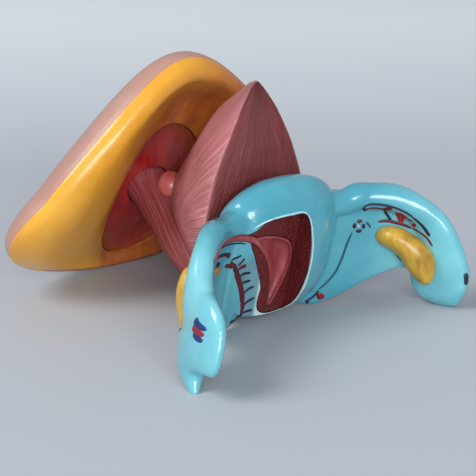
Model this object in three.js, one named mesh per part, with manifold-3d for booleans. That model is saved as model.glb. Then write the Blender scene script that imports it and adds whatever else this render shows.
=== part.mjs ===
import * as THREE from 'three';
import { mergeVertices } from 'three/addons/utils/BufferGeometryUtils.js';
import Module from 'manifold-3d';

// Anatomical model at natural size, lying on its back. X runs across the body and plus is its right side.
// Y runs from the uterus to the vulva. Z is up and is the front of the body. Sizes are millimetres.

const wasm = await Module();
wasm.setup();

// Fits. SEAT is the gap between two pieces that rest on each other, FREE the gap of a push fit.
const SEAT = 0.3;
const FREE = 0.35;

// Vulva slab. The plate is an egg seen square on, tilted so that its top leans over the bladder.
const PLATE_CENTRE = new THREE.Vector3(0, 102, 45);
const PLATE_TILT = 63.5;
const PLATE_TURN = -2;
const PLATE_HALF_WIDTH = 58;
const PLATE_HALF_HEIGHT = 51.2;
const PLATE_NARROWING = 0.35;
const CORNER_FULLNESS = 0.6;
const CORNER_PULL = 1.25;
const BOTTOM_RISE = 0.33;
const SIDE_DRAW = -11;
const SIDE_TWIST = 4;
const LIP_RELIEF = 6;
const LIP_SPREAD = 15;
const LIP_CENTRE = -12;
const SLOT_HALF_WIDTH = 8.5;
const SLOT_HALF_HEIGHT = 23;
const HOLLOW_EDGE = 0.4;
const HOLLOW_SHIFT = 2;
const HOLLOW_CENTRE = -13;
const HOLLOW_HALF_WIDTH = 21;
const HOLLOW_HALF_HEIGHT = 32;
const FOLD_HALF = 4.4;
const FOLD_PLACE = 5;
const ORIFICE_HALF_WIDTH = 5;
const ORIFICE_HALF_HEIGHT = 6;
const ORIFICE_REACH = [-10, 40];

// Share of the way from the middle of the plate to its edge, height above the plate, and how far the top end and
// the bottom end are dished.
const SKIN_OUTSIDE = [[0, 19], [0.2, 19.4], [HOLLOW_EDGE, 18.6], [0.6, 17], [0.76, 14.4], [0.88, 11],
  [0.96, 7.2], [0.995, 3]];
const SKIN_INSIDE = [[0.95, 0], [0.935, 3.2], [0.87, 7], [0.75, 10.6], [0.6, 13.4], [0.43, 15],
  [0.36, 15.4], [0, 16]];
const FAT_INSIDE = [[HOLLOW_EDGE, -3, 5, 5], [0.5, -6.5, 8, 8], [0.65, -9, 9, 9], [0.8, -9.8, 6, 9],
  [0.9, -8.2, 2, 8.5], [0.97, -4.6, 0, 6], [1, -0.9, 0, 1]];
const FLOOR_INSIDE = [[0, 0], [0.14, 0], [0.22, 1.2], [0.3, 2, 1, 1], [0.36, 0.6, 3, 3]];

// Vagina. Each row is Y, Z, half width and half thickness of the wall and then of the passage inside it.
const VAGINA_STATIONS = [
  [57.6, 12.5, 13, 9.5, 9.4, 6.2],
  [67, 14, 13, 9.6, 9, 5.2],
  [79, 19.5, 12, 9.6, 7.6, 4.6],
  [91, 27.5, 11, 9.2, 6.8, 4.4],
  [101, 34.5, 10.4, 9, 6.4, 4.4],
];
const SOCKET_TOP = 14.2;
const LINING_WALL = 1.6;

// Bladder. Each row is the height above its base, front and back reach, half width at the back.
const BLADDER_BASE = new THREE.Vector3(0, 62, 30);
const BLADDER_LEAN = 23;
const BLADDER_STATIONS = [
  [-5, 30, -17, 19],
  [3, 29.5, -21, 25],
  [12, 27, -19, 26],
  [21, 24.5, -15, 23.5],
  [31, 21.3, -11.5, 19.5],
  [42, 17, -7, 14.4],
  [52, 10.5, -1.5, 8.5],
  [58, 6.5, 2, 3.5],
  [60.5, 4, 3, 0.7],
];
const NECK = [[0, 86, 37.5], [0, 96, 42]];
const NECK_RADIUS = 5.2;
const PASSAGE_LENGTH = 32;
const PEG_RADIUS = 2;
const PEG_LENGTH = 10;
const PEG_DEPTH = 3.6;
const PEG_PLACES = [64, 80];

// Uterus. Each row is the height, the place of the middle, the half width, the half depth, and half of how far the
// muscle stands off the left side, where the cover is a thick ledge.
const UTERUS_STATIONS = [
  [0.8, 43, 3, 1.6, 0.5],
  [1.6, 42.4, 10.5, 5.4, 2.7],
  [3.8, 41, 16.6, 9.4, 4.4],
  [8, 37.5, 21, 12, 5.4],
  [16, 33.2, 23.5, 13.4, 5.6],
  [28, 30.6, 25, 13.6, 4.1],
  [38, 30, 26.5, 13, 2.8],
  [45, 29.2, 25, 11.6, 1.2],
  [50.5, 28, 19.8, 8.6, 0.4],
  [54, 27.2, 12, 5, 0],
  [55.2, 27, 3.5, 1.6, 0],
];
const COVER_WALL = 2.2;

// The left half is opened through a window, given as X and Z, down to a section that leans with the uterus and is
// given as X and Y at one height. The cavity's rows are its height, X, half width and half depth.
const SECTION_Z = 40;
const SECTION_LEAN = 0.25;
const SECTION_LINE = [[20, 24], [-22, 24], [-33, 20.5], [-46, 12.6]];
const WINDOW_OUTLINE = [[5, 1.2], [5, 44], [-11, 43.6], [-16, 41.4], [-20, 38.5], [-60, 38.5],
  [-60, 1.2]];
const CAVITY_STATIONS = [
  [6.5, -1.4, 1.9, 2],
  [14.5, -1.2, 3.7, 2.6],
  [24.5, -1.4, 5.2, 3.1],
  [31, -3, 6.9, 3.3],
  [35.6, -3.9, 7.8, 2.6],
];
const CAVITY_WALL = 1.8;
const CAVITY_SET_BACK = 0.6;
const CERVIX_START = 40;
const CERVIX_REACH = 3.9;

// Fallopian tubes with their end lobes. Each row is X, Y, Z, the half size along Y and across it, and how far the
// broad side turns from Y towards the middle of the body. The left one is opened, thinner, and has the broader lobe.
const TUBE_STATIONS = {
  left: [
    [-18, 28, 42.6, 5.4, 5.4, 0],
    [-29, 25, 41.4, 4.8, 4.8, 0],
    [-38, 20.5, 41.8, 5, 5, 0],
    [-45.5, 14.5, 38.8, 4.6, 4.6, 0.1],
    [-50.5, 10, 33.5, 5.4, 4.6, 0.2],
    [-54.6, 5.6, 27, 8.4, 4.7, 0.3],
    [-58, 2.8, 19, 14, 4.8, 0.35],
    [-59.2, 2.6, 12.4, 15.4, 4.6, 0.35],
    [-60, 3.2, 6.6, 10.2, 4, 0.3],
    [-61, 3.6, 3.4, 5.8, 3.4, 0.2],
    [-61.6, 1.8, 0.8, 3.5, 2.9, 0.1],
    [-61.8, 1.2, -1.2, 2.4, 2, 0],
  ],
  right: [
    [18, 28, 42.6, 5.4, 5.4, 0],
    [29, 25, 41.4, 4.8, 4.8, 0],
    [40, 20, 42.6, 5.6, 5.2, 0],
    [48.5, 13.5, 40, 6.4, 5.4, 0.1],
    [54, 8.5, 34.5, 7.4, 5.2, 0.2],
    [57, 5, 27, 8.6, 4.8, 0.3],
    [58.5, 4.2, 19, 10.6, 4.8, 0.35],
    [59.2, 3.8, 11, 12.4, 4.6, 0.35],
    [60, 1.6, 5, 10.4, 4, 0.3],
    [61.2, 0.6, 0.8, 5.6, 3, 0.2],
    [61.8, 0.6, -1.2, 3, 2, 0],
  ],
};

// Passage of the left tube, opened along the section plane. Each row is X, Y and Z.
const LUMEN_STATIONS = [[-10, 25, 36], [-19, 24.8, 38.6], [-28, 24.4, 39.4], [-35, 21.6, 39.3],
  [-40.5, 17.6, 38], [-44.5, 13.6, 34.8]];
const LUMEN_HALF = 1.9;
const LUMEN_SKIN = 0.9;
const GROOVE_REACH = 9;

// Broad ligament, right side. Rows are X and Y of the top edge and of the lower edge, with their heights.
const LIGAMENT_STATIONS = [
  [12, 28, 40, 10, 38, 6],
  [20, 27, 40, 20, 35.5, 1],
  [30, 24, 39, 30, 31, 3],
  [40, 19, 40, 40, 23, 10],
  [50, 12.5, 38, 49, 16, 14],
  [57, 6, 32, 56, 9.5, 13],
];
const LIGAMENT_HALF = 2.3;

// Ovary on each side: its middle and its direction. The right one leans in over the broad ligament.
const OVARIES = {
  left: { middle: [-50, 13.5, 20.5], reach: [0, 0.3, 0.954] },
  right: { middle: [46.7, 10, 20.8], reach: [-0.594, 0.415, 0.69] },
};
const OVARY_HALF_LENGTH = 16.5;
const OVARY_DEPTH = 8.2;
const OVARY_HALF_THICK = 6.2;
const OVARY_TAPER = 0.16;

// How far past the model the blocks reach that cut it off at a plane.
const BEYOND = 300;

const PLATE_COUNT = 32;
const PLATE_P = new THREE.Vector3(1, 0, 0);
const PLATE_Q = new THREE.Vector3(0, -Math.cos(rad(PLATE_TILT)), Math.sin(rad(PLATE_TILT)));
const PLATE_N = new THREE.Vector3(0, Math.sin(rad(PLATE_TILT)), Math.cos(rad(PLATE_TILT)));
const LIFT = new THREE.Vector3(0, -Math.sin(rad(BLADDER_LEAN)), Math.cos(rad(BLADDER_LEAN)));
const ALONG = new THREE.Vector3(0, LIFT.z, -LIFT.y);
const ACROSS = new THREE.Vector3(1, 0, 0);
const BACK_TO_FRONT = new THREE.Vector3(0, 1, 0);
const UP = new THREE.Vector3(0, 0, 1);

function rad(degrees) {
  return THREE.MathUtils.degToRad(degrees);
}

function vec(x, y, z) {
  return new THREE.Vector3(x, y, z);
}

// Point at a place given in a frame of an origin and up to three directions.
function at(origin, ...pairs) {
  const point = origin.clone();
  for (const [direction, amount] of pairs) {
    point.addScaledVector(direction, amount);
  }
  return point;
}

// Rows of numbers joined by a smooth curve and taken at even steps along it.
function smooth(rows, steps) {
  const first = new THREE.CatmullRomCurve3(rows.map(row => vec(row[0], row[1], row[2])), false, 'centripetal');
  const rest = new THREE.CatmullRomCurve3(rows.map(row => vec(row[3] ?? 0, row[4] ?? 0, row[5] ?? 0)));
  const out = [];
  for (let i = 0; i <= steps; i++) {
    out.push([...first.getPoint(i / steps).toArray(), ...rest.getPoint(i / steps).toArray()]);
  }
  return out;
}

// Ring of points round a middle. Power 2 is an ellipse and a larger power is squarer.
function ring(middle, side, top, a, b, count, power = 2) {
  const points = [];
  for (let i = 0; i < count; i++) {
    const angle = 2 * Math.PI * i / count;
    const c = Math.cos(angle);
    const s = Math.sin(angle);
    const u = a * Math.sign(c) * Math.abs(c) ** (2 / power);
    const v = b * Math.sign(s) * Math.abs(s) ** (2 / power);
    points.push(at(middle, [side, u], [top, v]));
  }
  return points;
}

// Solid skinned over rings of one count. The two ends are closed to a point, or the last ring meets the first.
function skinned(rings, wrap = false) {
  const count = rings[0].length;
  const position = rings.flat().flatMap(p => p.toArray());
  const index = [];
  const quad = (i, j, k, l) => index.push(i, j, k, i, k, l);
  const rows = wrap ? rings.length : rings.length - 1;
  for (let r = 0; r < rows; r++) {
    for (let c = 0; c < count; c++) {
      const next = (c + 1) % count;
      const upper = (r + 1) % rings.length;
      quad(r * count + c, r * count + next, upper * count + next, upper * count + c);
    }
  }
  if (!wrap) {
    for (const end of [0, rings.length - 1]) {
      const middle = new THREE.Vector3();
      rings[end].forEach(p => middle.addScaledVector(p, 1 / count));
      const centre = position.length / 3;
      position.push(...middle.toArray());
      for (let c = 0; c < count; c++) {
        const pair = [end * count + c, end * count + (c + 1) % count];
        index.push(centre, ...(end === 0 ? pair.reverse() : pair));
      }
    }
  }
  const geometry = new THREE.BufferGeometry();
  geometry.setAttribute('position', new THREE.Float32BufferAttribute(position, 3));
  geometry.setIndex(index);
  return solid(geometry);
}

// Manifold solid of a three.js geometry, turned to face outward.
function solid(geometry) {
  const bare = geometry.clone();
  bare.deleteAttribute('normal');
  bare.deleteAttribute('uv');
  const merged = mergeVertices(bare, 1e-4);
  const vertProperties = new Float32Array(merged.attributes.position.array);
  const triVerts = new Uint32Array(merged.index.array);
  const points = new THREE.Vector3();
  const corner = i => points.clone().fromArray(vertProperties, 3 * triVerts[i]);
  let volume = 0;
  for (let i = 0; i < triVerts.length; i += 3) {
    volume += corner(i).dot(corner(i + 1).cross(corner(i + 2)));
  }
  if (volume < 0) {
    triVerts.reverse();
  }
  return new wasm.Manifold(new wasm.Mesh({ numProp: 3, vertProperties, triVerts }));
}

// Round or oval rod between two points.
function rod(from, to, side, a, b, count = 24) {
  const along = to.clone().sub(from).normalize();
  const top = along.clone().cross(side);
  return skinned([ring(from, side, top, a, b, count), ring(to, side, top, a, b, count)]);
}

// Box between two corners.
function block(low, high) {
  const size = vec(...high).sub(vec(...low));
  const box = new THREE.BoxGeometry(size.x, size.y, size.z);
  box.translate(low[0] + size.x / 2, low[1] + size.y / 2, low[2] + size.z / 2);
  return solid(box);
}

function mirrored(rows, side) {
  return rows.map(row => [side * row[0], ...row.slice(1)]);
}

function named(name, manifold, colour, roughness) {
  const source = manifold.getMesh();
  const geometry = new THREE.BufferGeometry();
  geometry.setAttribute('position', new THREE.Float32BufferAttribute(source.vertProperties, 3));
  geometry.setIndex(Array.from(source.triVerts));
  geometry.computeVertexNormals();
  const material = new THREE.MeshStandardMaterial({ color: colour, roughness });
  const mesh = new THREE.Mesh(geometry, material);
  mesh.name = name;
  return mesh;
}

// Egg edge of the plate, narrower at the top and drawn out at the two lower corners.
function plateEdge(c, s) {
  const low = Math.max(0, -s);
  const wide = PLATE_HALF_WIDTH * (1 - PLATE_NARROWING * s + CORNER_FULLNESS * low * low);
  const pull = low > 0 ? CORNER_PULL : 1;
  return [wide * Math.sign(c) * Math.abs(c) ** pull, PLATE_HALF_HEIGHT * (s + BOTTOM_RISE * low * (1 - low))];
}

// Place on the plate: angle round it, share of the way out, height above it, and the dish at that end.
function onPlate(angle, share, height, topDish, bottomDish, relief) {
  const c = Math.cos(angle);
  const s = Math.sin(angle);
  const inner = Math.min(1, share / HOLLOW_EDGE);
  const outer = Math.max(0, (share - HOLLOW_EDGE) / (1 - HOLLOW_EDGE));
  const [edgeU, edgeV] = plateEdge(c, s);
  const u = THREE.MathUtils.lerp(HOLLOW_SHIFT * (1 + s) + HOLLOW_HALF_WIDTH * c * inner, edgeU, outer);
  const v = THREE.MathUtils.lerp(HOLLOW_CENTRE + HOLLOW_HALF_HEIGHT * s * inner, edgeV, outer);
  const saddle = (SIDE_DRAW * c * c - SIDE_TWIST * c * c * s) * share * share;
  const lip = relief * Math.exp(-(((Math.abs(u) - LIP_SPREAD) / 7) ** 2) - ((v - LIP_CENTRE) / 24) ** 2);
  const lift = saddle + height + (s > 0 ? topDish : bottomDish) * s * s + lip;
  const turn = rad(PLATE_TURN);
  const across = u * Math.cos(turn) - v * Math.sin(turn);
  const along = u * Math.sin(turn) + v * Math.cos(turn);
  return at(PLATE_CENTRE, [PLATE_P, across], [PLATE_Q, along], [PLATE_N, lift]);
}

// Solid of a closed profile carried round the plate. A profile that starts on the middle is closed there.
function plateSolid(profile, count, relief = 0) {
  const rings = profile.map(([share, height, topDish = 0, bottomDish = 0, raised = 0]) => {
    const points = [];
    for (let i = 0; i < count; i++) {
      const angle = 2 * Math.PI * i / count;
      points.push(onPlate(angle, Math.max(share, 0.02), height, topDish, bottomDish, raised * relief));
    }
    return points;
  });
  return skinned(rings, profile[0][0] > 0);
}

function shrunk(profile) {
  return profile.map(([share, height]) => [share - SEAT / PLATE_HALF_HEIGHT, height - SEAT]);
}

// Point of the plate's middle line at a distance up the plate and a height above it.
function onAxis(up, height) {
  return at(PLATE_CENTRE, [PLATE_Q, up], [PLATE_N, height]);
}

// Everything below the table plane is taken off, so that the resting faces are flat.
function flatFooted(manifold) {
  return manifold.subtract(block([-BEYOND, -BEYOND, -BEYOND], [BEYOND, BEYOND, 0]));
}

function slotPlug(gap) {
  const side = SLOT_HALF_WIDTH + gap;
  const height = SLOT_HALF_HEIGHT + gap;
  return rod(onAxis(LIP_CENTRE, 8), onAxis(LIP_CENTRE, 40), ACROSS, side, height, 36);
}

function orifice() {
  const spot = vaginaEnd();
  const [from, to] = ORIFICE_REACH;
  return rod(onAxis(spot.up, from), onAxis(spot.up, to), ACROSS, ORIFICE_HALF_WIDTH, ORIFICE_HALF_HEIGHT);
}

// Where the middle line of the vagina meets the plate.
function vaginaEnd() {
  const last = VAGINA_STATIONS[VAGINA_STATIONS.length - 1];
  const offset = vec(0, last[0], last[1]).sub(PLATE_CENTRE);
  return { up: offset.dot(PLATE_Q), height: offset.dot(PLATE_N) };
}

function vulvaSkin() {
  const outside = SKIN_OUTSIDE.map(([share, height]) => [share, height, 0, 0, 1]);
  const shell = plateSolid([...outside, [1, 0], ...SKIN_INSIDE], PLATE_COUNT, LIP_RELIEF);
  return flatFooted(shell.subtract(slotPlug(0)));
}

function vulvaFat() {
  const back = shrunk(SKIN_INSIDE.filter(([share]) => share > HOLLOW_EDGE));
  const low = back[back.length - 1][1];
  const profile = [...FAT_INSIDE, [0.99, -SEAT], ...back, [HOLLOW_EDGE, low + 0.1]];
  return flatFooted(plateSolid(profile, PLATE_COUNT));
}

function pelvicFloor() {
  const edge = HOLLOW_EDGE - SEAT / HOLLOW_HALF_WIDTH * HOLLOW_EDGE;
  const back = shrunk(SKIN_INSIDE.filter(([share]) => share < HOLLOW_EDGE));
  const [, lip, ...dish] = FAT_INSIDE[0];
  const rim = [[edge, lip + 1, ...dish], [edge, back[0][1]]];
  const bowl = plateSolid([...FLOOR_INSIDE, ...rim, ...back], PLATE_COUNT);
  const end = VAGINA_STATIONS[VAGINA_STATIONS.length - 1];
  const up = vaginaEnd().up;
  const socket = rod(onAxis(up, -20), onAxis(up, SOCKET_TOP + FREE), ACROSS, end[2] + FREE, end[3] + FREE, 28);
  return flatFooted(bowl.subtract(socket).subtract(orifice()));
}

function vestibule() {
  const base = SKIN_INSIDE[SKIN_INSIDE.length - 1][1];
  const side = SLOT_HALF_WIDTH - FREE;
  const height = SLOT_HALF_HEIGHT - FREE;
  const low = onAxis(LIP_CENTRE, base);
  const plug = rod(low, onAxis(LIP_CENTRE, base + 3.5), ACROSS, side, height, 36);
  const fold = x => {
    const middle = at(onAxis(LIP_CENTRE + 3, base + FOLD_HALF), [ACROSS, x]);
    const rings = [-1, -0.8, -0.3, 0.3, 0.8, 1].map(t => {
      const round = Math.sqrt(Math.max(0.02, 1 - t * t));
      const spot = at(middle, [PLATE_Q, t * 16], [ACROSS, -Math.sign(x) * t * t * 1.6]);
      return ring(spot, ACROSS, PLATE_N, 1.5 * round, (FOLD_HALF - SEAT) * round, 10);
    });
    return skinned(rings);
  };
  return plug.add(fold(FOLD_PLACE)).add(fold(-FOLD_PLACE)).subtract(orifice());
}

// Rings of the vagina, from the sleeve over the cervix to the end in the pelvic floor.
function vaginaRings(a, b, grow, count, over = 0) {
  const rows = smooth(VAGINA_STATIONS.map(row => [row[0], row[1], row[a], row[b]]), 7);
  const rings = rows.map((row, i) => {
    const before = rows[Math.max(0, i - 1)];
    const after = rows[Math.min(rows.length - 1, i + 1)];
    const along = vec(0, after[0] - before[0], after[1] - before[1]).normalize();
    const course = i === 0 ? BACK_TO_FRONT : along;
    const top = ACROSS.clone().cross(course);
    return ring(vec(0, row[0], row[1]), ACROSS, top, row[2] + grow, row[3] + grow, count);
  });
  const last = rows[rows.length - 1];
  const up = vaginaEnd().up;
  for (const height of [8, SOCKET_TOP + over]) {
    rings.push(ring(onAxis(up, height), ACROSS, PLATE_Q, last[2] + grow, last[3] + grow, count));
  }
  if (over > 0) {
    rings.unshift(rings[0].map(p => at(p, [BACK_TO_FRONT, -over])));
  }
  return rings;
}

function vaginaWall() {
  const bore = skinned(vaginaRings(4, 5, 0, 18, 2));
  const wall = skinned(vaginaRings(2, 3, 0, 24)).subtract(bore);
  return PEG_PLACES.reduce((body, y) => body.subtract(peg(y, FREE / 2)), wall);
}

function vaginaLining() {
  const outer = skinned(vaginaRings(4, 5, -SEAT, 18));
  const inner = skinned(vaginaRings(4, 5, -SEAT - LINING_WALL, 18, 2));
  const cervixRoom = block([-BEYOND, CERVIX_START, -BEYOND], [BEYOND, cervixEnd() + SEAT, BEYOND]);
  return outer.subtract(inner).subtract(cervixRoom);
}

// Top of the vagina at a place along it.
function vaginaTop(y) {
  const rows = smooth(VAGINA_STATIONS, 60);
  const near = rows.reduce((best, row) => Math.abs(row[0] - y) < Math.abs(best[0] - y) ? row : best);
  return vec(0, near[0], near[1] + near[3] / LIFT.z);
}

function peg(y, grow) {
  const seat = at(vaginaTop(y), [LIFT, -PEG_DEPTH - grow]);
  return rod(seat, at(seat, [LIFT, PEG_LENGTH + 2 * grow]), ACROSS, PEG_RADIUS + grow, PEG_RADIUS + grow);
}

// Rounded triangle with its point to the front and its flat side towards the uterus.
function bladderRing(height, front, back, half, count) {
  const points = [];
  const corners = [[0, front], [half, back], [-half, back]];
  const middle = (front + 2 * back) / 3;
  for (let i = 0; i < count; i++) {
    const t = 3 * i / count;
    const k = Math.floor(t);
    const part = t - k;
    const from = corners[k];
    const to = corners[(k + 1) % 3];
    const swell = 1 + 0.5 * Math.sin(Math.PI * part) * (k === 1 ? 0.15 : 0.5);
    const x = THREE.MathUtils.lerp(from[0], to[0], part);
    const y = THREE.MathUtils.lerp(from[1], to[1], part) - middle;
    points.push(at(BLADDER_BASE, [ACROSS, x * swell], [ALONG, middle + y * swell], [LIFT, height]));
  }
  return points;
}

function bladderForm() {
  const rows = smooth(BLADDER_STATIONS, 13);
  return skinned(rows.map(row => bladderRing(row[0], row[1], row[2], row[3], 24)));
}

// Room that the uterus needs behind the bladder, from its dome down along the way the bladder lifts.
function uterusPassage() {
  const widest = widestUterus();
  const top = vec(0, widest[1], widest[0]);
  const foot = at(top, [LIFT, -PASSAGE_LENGTH]);
  return rod(foot, top, ACROSS, widest[2] + 1, widest[3] + 1, 28).add(uterusForm(1));
}

function bladder() {
  const seat = skinned(vaginaRings(2, 3, SEAT, 24));
  const body = bladderForm().subtract(seat).subtract(uterusPassage()).subtract(neckForm(SEAT));
  return PEG_PLACES.reduce((rest, y) => rest.subtract(peg(y, FREE / 2)), body);
}

function neckForm(grow) {
  const [from, to] = NECK.map(point => vec(...point));
  const rings = [0, 0.12, 0.3, 0.5, 0.7, 0.88, 1].map(t => {
    const width = NECK_RADIUS * Math.sqrt(1 - 0.94 * (2 * t - 1) ** 2) + grow;
    return ring(from.clone().lerp(to, t * (1 + grow / 5) - grow / 10), ACROSS, LIFT, width, width, 20);
  });
  return skinned(rings);
}

function bladderNeck() {
  return neckForm(0).subtract(skinned(vaginaRings(2, 3, SEAT, 24)));
}

// The uterus with its skin moved out by an amount, or in when the amount is negative. With a ledge of 1 it keeps
// clear of the ledge on its left side.
function uterusForm(grow, ledge = 0) {
  const rows = UTERUS_STATIONS;
  const low = rows[0][0];
  const high = rows[rows.length - 1][0];
  const [, , width, depth] = widestUterus();
  const rings = smooth(rows, 14).map(([z, y, a, b, shift]) => {
    const spot = vec(ledge * shift, y, z + grow * (2 * z - low - high) / (high - low));
    const half = a * (1 + grow / width) - ledge * shift;
    return ring(spot, ACROSS, BACK_TO_FRONT, half, b * (1 + grow / depth), 24);
  });
  return skinned(rings);
}

function widestUterus() {
  return UTERUS_STATIONS.reduce((best, row) => row[2] > best[2] ? row : best);
}

function sectionY(z) {
  return SECTION_LINE[0][1] + (SECTION_Z - z) * SECTION_LEAN;
}

// Solid of a flat outline carried along a direction, from a place.
function carried(outline, across, up, along, length, from) {
  const shape = new THREE.Shape(outline.map(([u, v]) => new THREE.Vector2(u, v)));
  const body = new THREE.ExtrudeGeometry(shape, { depth: length, bevelEnabled: false });
  body.applyMatrix4(new THREE.Matrix4().makeBasis(across, up, along));
  body.translate(...from.toArray());
  return solid(body);
}

// Room cut out of the left half through the window, down to the leaning section.
function windowRoom() {
  const height = widestUterus()[0];
  const front = widestUterus()[1] - 3 * widestUterus()[3];
  const last = SECTION_LINE.length - 1;
  const plan = [[SECTION_LINE[0][0], front], ...SECTION_LINE, [SECTION_LINE[last][0], front]];
  const lean = vec(0, -SECTION_LEAN, 1);
  const slice = carried(plan, ACROSS, BACK_TO_FRONT, lean, 2 * height, vec(0, SECTION_Z * SECTION_LEAN, 0));
  const deep = sectionY(0) - front;
  return slice.intersect(carried(WINDOW_OUTLINE, ACROSS, UP, BACK_TO_FRONT, deep, vec(0, front, 0)));
}

function cavityForm(grow) {
  const low = CAVITY_STATIONS[0][0];
  const high = CAVITY_STATIONS[CAVITY_STATIONS.length - 1][0];
  const rings = smooth(CAVITY_STATIONS, 7).map(row => {
    const height = row[0] + grow * (2 * row[0] - low - high) / (high - low);
    const spot = vec(row[1], sectionY(height) + CAVITY_SET_BACK, height);
    return ring(spot, ACROSS, BACK_TO_FRONT, row[2] + grow, row[3] + grow, 18);
  });
  return skinned(rings);
}

function uterusCover() {
  return uterusForm(0).subtract(uterusForm(-COVER_WALL, 1)).subtract(windowRoom()).subtract(cavityForm(SEAT))
    .subtract(cervixForm(SEAT)).subtract(lumenGroove());
}

function uterusMuscle() {
  return uterusForm(-COVER_WALL - SEAT, 1).subtract(windowRoom()).subtract(cavityForm(SEAT))
    .subtract(cervixForm(SEAT)).subtract(lumenGroove());
}

function cavityLining() {
  return cavityForm(0).subtract(cavityForm(-CAVITY_WALL)).subtract(windowRoom()).subtract(cervixForm(SEAT));
}

// Where the cervix ends inside the vagina.
function cervixEnd() {
  return VAGINA_STATIONS[0][0] + CERVIX_REACH;
}

function cervixForm(grow) {
  const mouth = VAGINA_STATIONS[0];
  const rows = [[0, 0.75], [0.15, 0.9], [0.7, 1], [0.9, 0.94], [1, 0.7]];
  const rings = rows.map(([t, width]) => {
    const y = THREE.MathUtils.lerp(CERVIX_START - grow, cervixEnd() + grow, t);
    const [side, height] = [mouth[4], mouth[5]].map(half => (half - FREE) * width + grow);
    return ring(vec(0, y, mouth[1]), ACROSS, UP, side, height, 24);
  });
  return skinned(rings);
}

function cervix() {
  const z = VAGINA_STATIONS[0][1];
  const canal = rod(vec(0, cervixEnd() - 6, z), vec(0, cervixEnd() + 5, z), ACROSS, 2.4, 1.6, 16);
  return cervixForm(0).subtract(canal);
}

// Rings carried along a path of rows, kept square to it. Sizes are taken from each row.
function ringsAlong(rows, sizes, count, shift = 0, power = 2) {
  return rows.map((row, i) => {
    const before = vec(...rows[Math.max(0, i - 1)]);
    const after = vec(...rows[Math.min(rows.length - 1, i + 1)]);
    const along = after.sub(before).normalize();
    const lean = vec(-Math.sign(row[0]) * row[5], 1, 0);
    const broad = at(lean, [along, -lean.dot(along)]).normalize();
    const thin = along.clone().cross(broad);
    const [a, b] = sizes(row);
    return ring(at(vec(...row), [broad, shift]), broad, thin, a, b, count, power);
  });
}

function tubeForm(side, grow) {
  const rows = smooth(side < 0 ? TUBE_STATIONS.left : TUBE_STATIONS.right, 18);
  return skinned(ringsAlong(rows, row => [row[3] + grow, row[4] + grow], 16));
}

function lumenStrip() {
  return skinned(ringsAlong(smooth(LUMEN_STATIONS, 10), () => [LUMEN_SKIN, LUMEN_HALF], 10));
}

function lumenGroove() {
  const reach = () => [GROOVE_REACH + LUMEN_SKIN + SEAT, LUMEN_HALF + SEAT];
  return skinned(ringsAlong(smooth(LUMEN_STATIONS, 10), reach, 12, -GROOVE_REACH, 8));
}

function tubeLining() {
  return lumenStrip().subtract(cavityForm(SEAT));
}

function tube(side) {
  const whole = tubeForm(side, 0).subtract(uterusForm(SEAT)).subtract(ovaryForm(side, SEAT));
  return flatFooted(side < 0 ? whole.subtract(lumenGroove()) : whole);
}

function ligament(side) {
  const rows = smooth(mirrored(LIGAMENT_STATIONS, side), 6);
  const rings = rows.map(row => {
    const top = vec(row[0], row[1], row[2]);
    const low = vec(side * row[3], row[4], row[5]);
    const half = top.distanceTo(low) / 2;
    const rise = top.clone().sub(low).normalize();
    const face = rise.clone().cross(ACROSS).normalize();
    return ring(top.clone().lerp(low, 0.5), rise, face, half, LIGAMENT_HALF, 12, 4);
  });
  const sheet = skinned(rings).subtract(uterusForm(SEAT)).subtract(tubeForm(side, SEAT))
    .subtract(ovaryForm(side, SEAT));
  return side < 0 ? sheet.subtract(windowRoom()) : sheet;
}

function ovaryForm(side, grow) {
  const { middle, reach } = side < 0 ? OVARIES.left : OVARIES.right;
  const along = vec(...reach).normalize();
  const broad = ACROSS.clone().cross(along).normalize();
  const thick = along.clone().cross(broad);
  const rings = [];
  for (let i = 1; i < 11; i++) {
    const angle = Math.PI * i / 11;
    const width = Math.sin(angle) * (1 + OVARY_TAPER * Math.cos(angle));
    const spot = at(vec(...middle), [along, -Math.cos(angle) * (OVARY_HALF_LENGTH + grow)]);
    rings.push(ring(spot, thick, broad, OVARY_HALF_THICK * width + grow, OVARY_DEPTH * width + grow, 16));
  }
  return skinned(rings);
}

const TURQUOISE = 0x6cc4d4;
const SKIN = 0xe0aaa8;
const MUSTARD = 0xd9a93a;
const DEEP_RED = 0x8a2a2a;
const DUSK = 0x9a4448;
const PINK = 0xbe6e73;
const MAROON = 0x5c161c;
const ROSE = 0xb06468;
const STEEL = 0xb8bcc0;

const model = new THREE.Group();
model.name = 'female_reproductive_organ_model';
const parts = [
  ['vulva_skin_shell', vulvaSkin(), SKIN, 0.45],
  ['vulva_fat_body', vulvaFat(), MUSTARD, 0.3],
  ['pelvic_floor', pelvicFloor(), DEEP_RED, 0.35],
  ['vestibule', vestibule(), SKIN, 0.4],
  ['bladder_neck', bladderNeck(), PINK, 0.4],
  ['vagina_wall', vaginaWall(), DUSK, 0.4],
  ['vagina_lining', vaginaLining(), ROSE, 0.4],
  ['bladder', bladder(), PINK, 0.4],
  ['uterus_cover', uterusCover(), TURQUOISE, 0.25],
  ['uterus_muscle', uterusMuscle(), MAROON, 0.6],
  ['uterus_cavity_lining', cavityLining(), ROSE, 0.4],
  ['cervix', cervix(), ROSE, 0.4],
  ['fallopian_tube_lining_left', tubeLining(), ROSE, 0.4],
];
PEG_PLACES.forEach((y, i) => parts.push([`bladder_peg_${i + 1}`, peg(y, 0), STEEL, 0.3]));
for (const [label, side] of [['left', -1], ['right', 1]]) {
  parts.push([`fallopian_tube_${label}`, tube(side), TURQUOISE, 0.25]);
  parts.push([`broad_ligament_${label}`, ligament(side), TURQUOISE, 0.25]);
  parts.push([`ovary_${label}`, ovaryForm(side, 0), MUSTARD, 0.3]);
}
parts.forEach(part => model.add(named(...part)));

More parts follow.
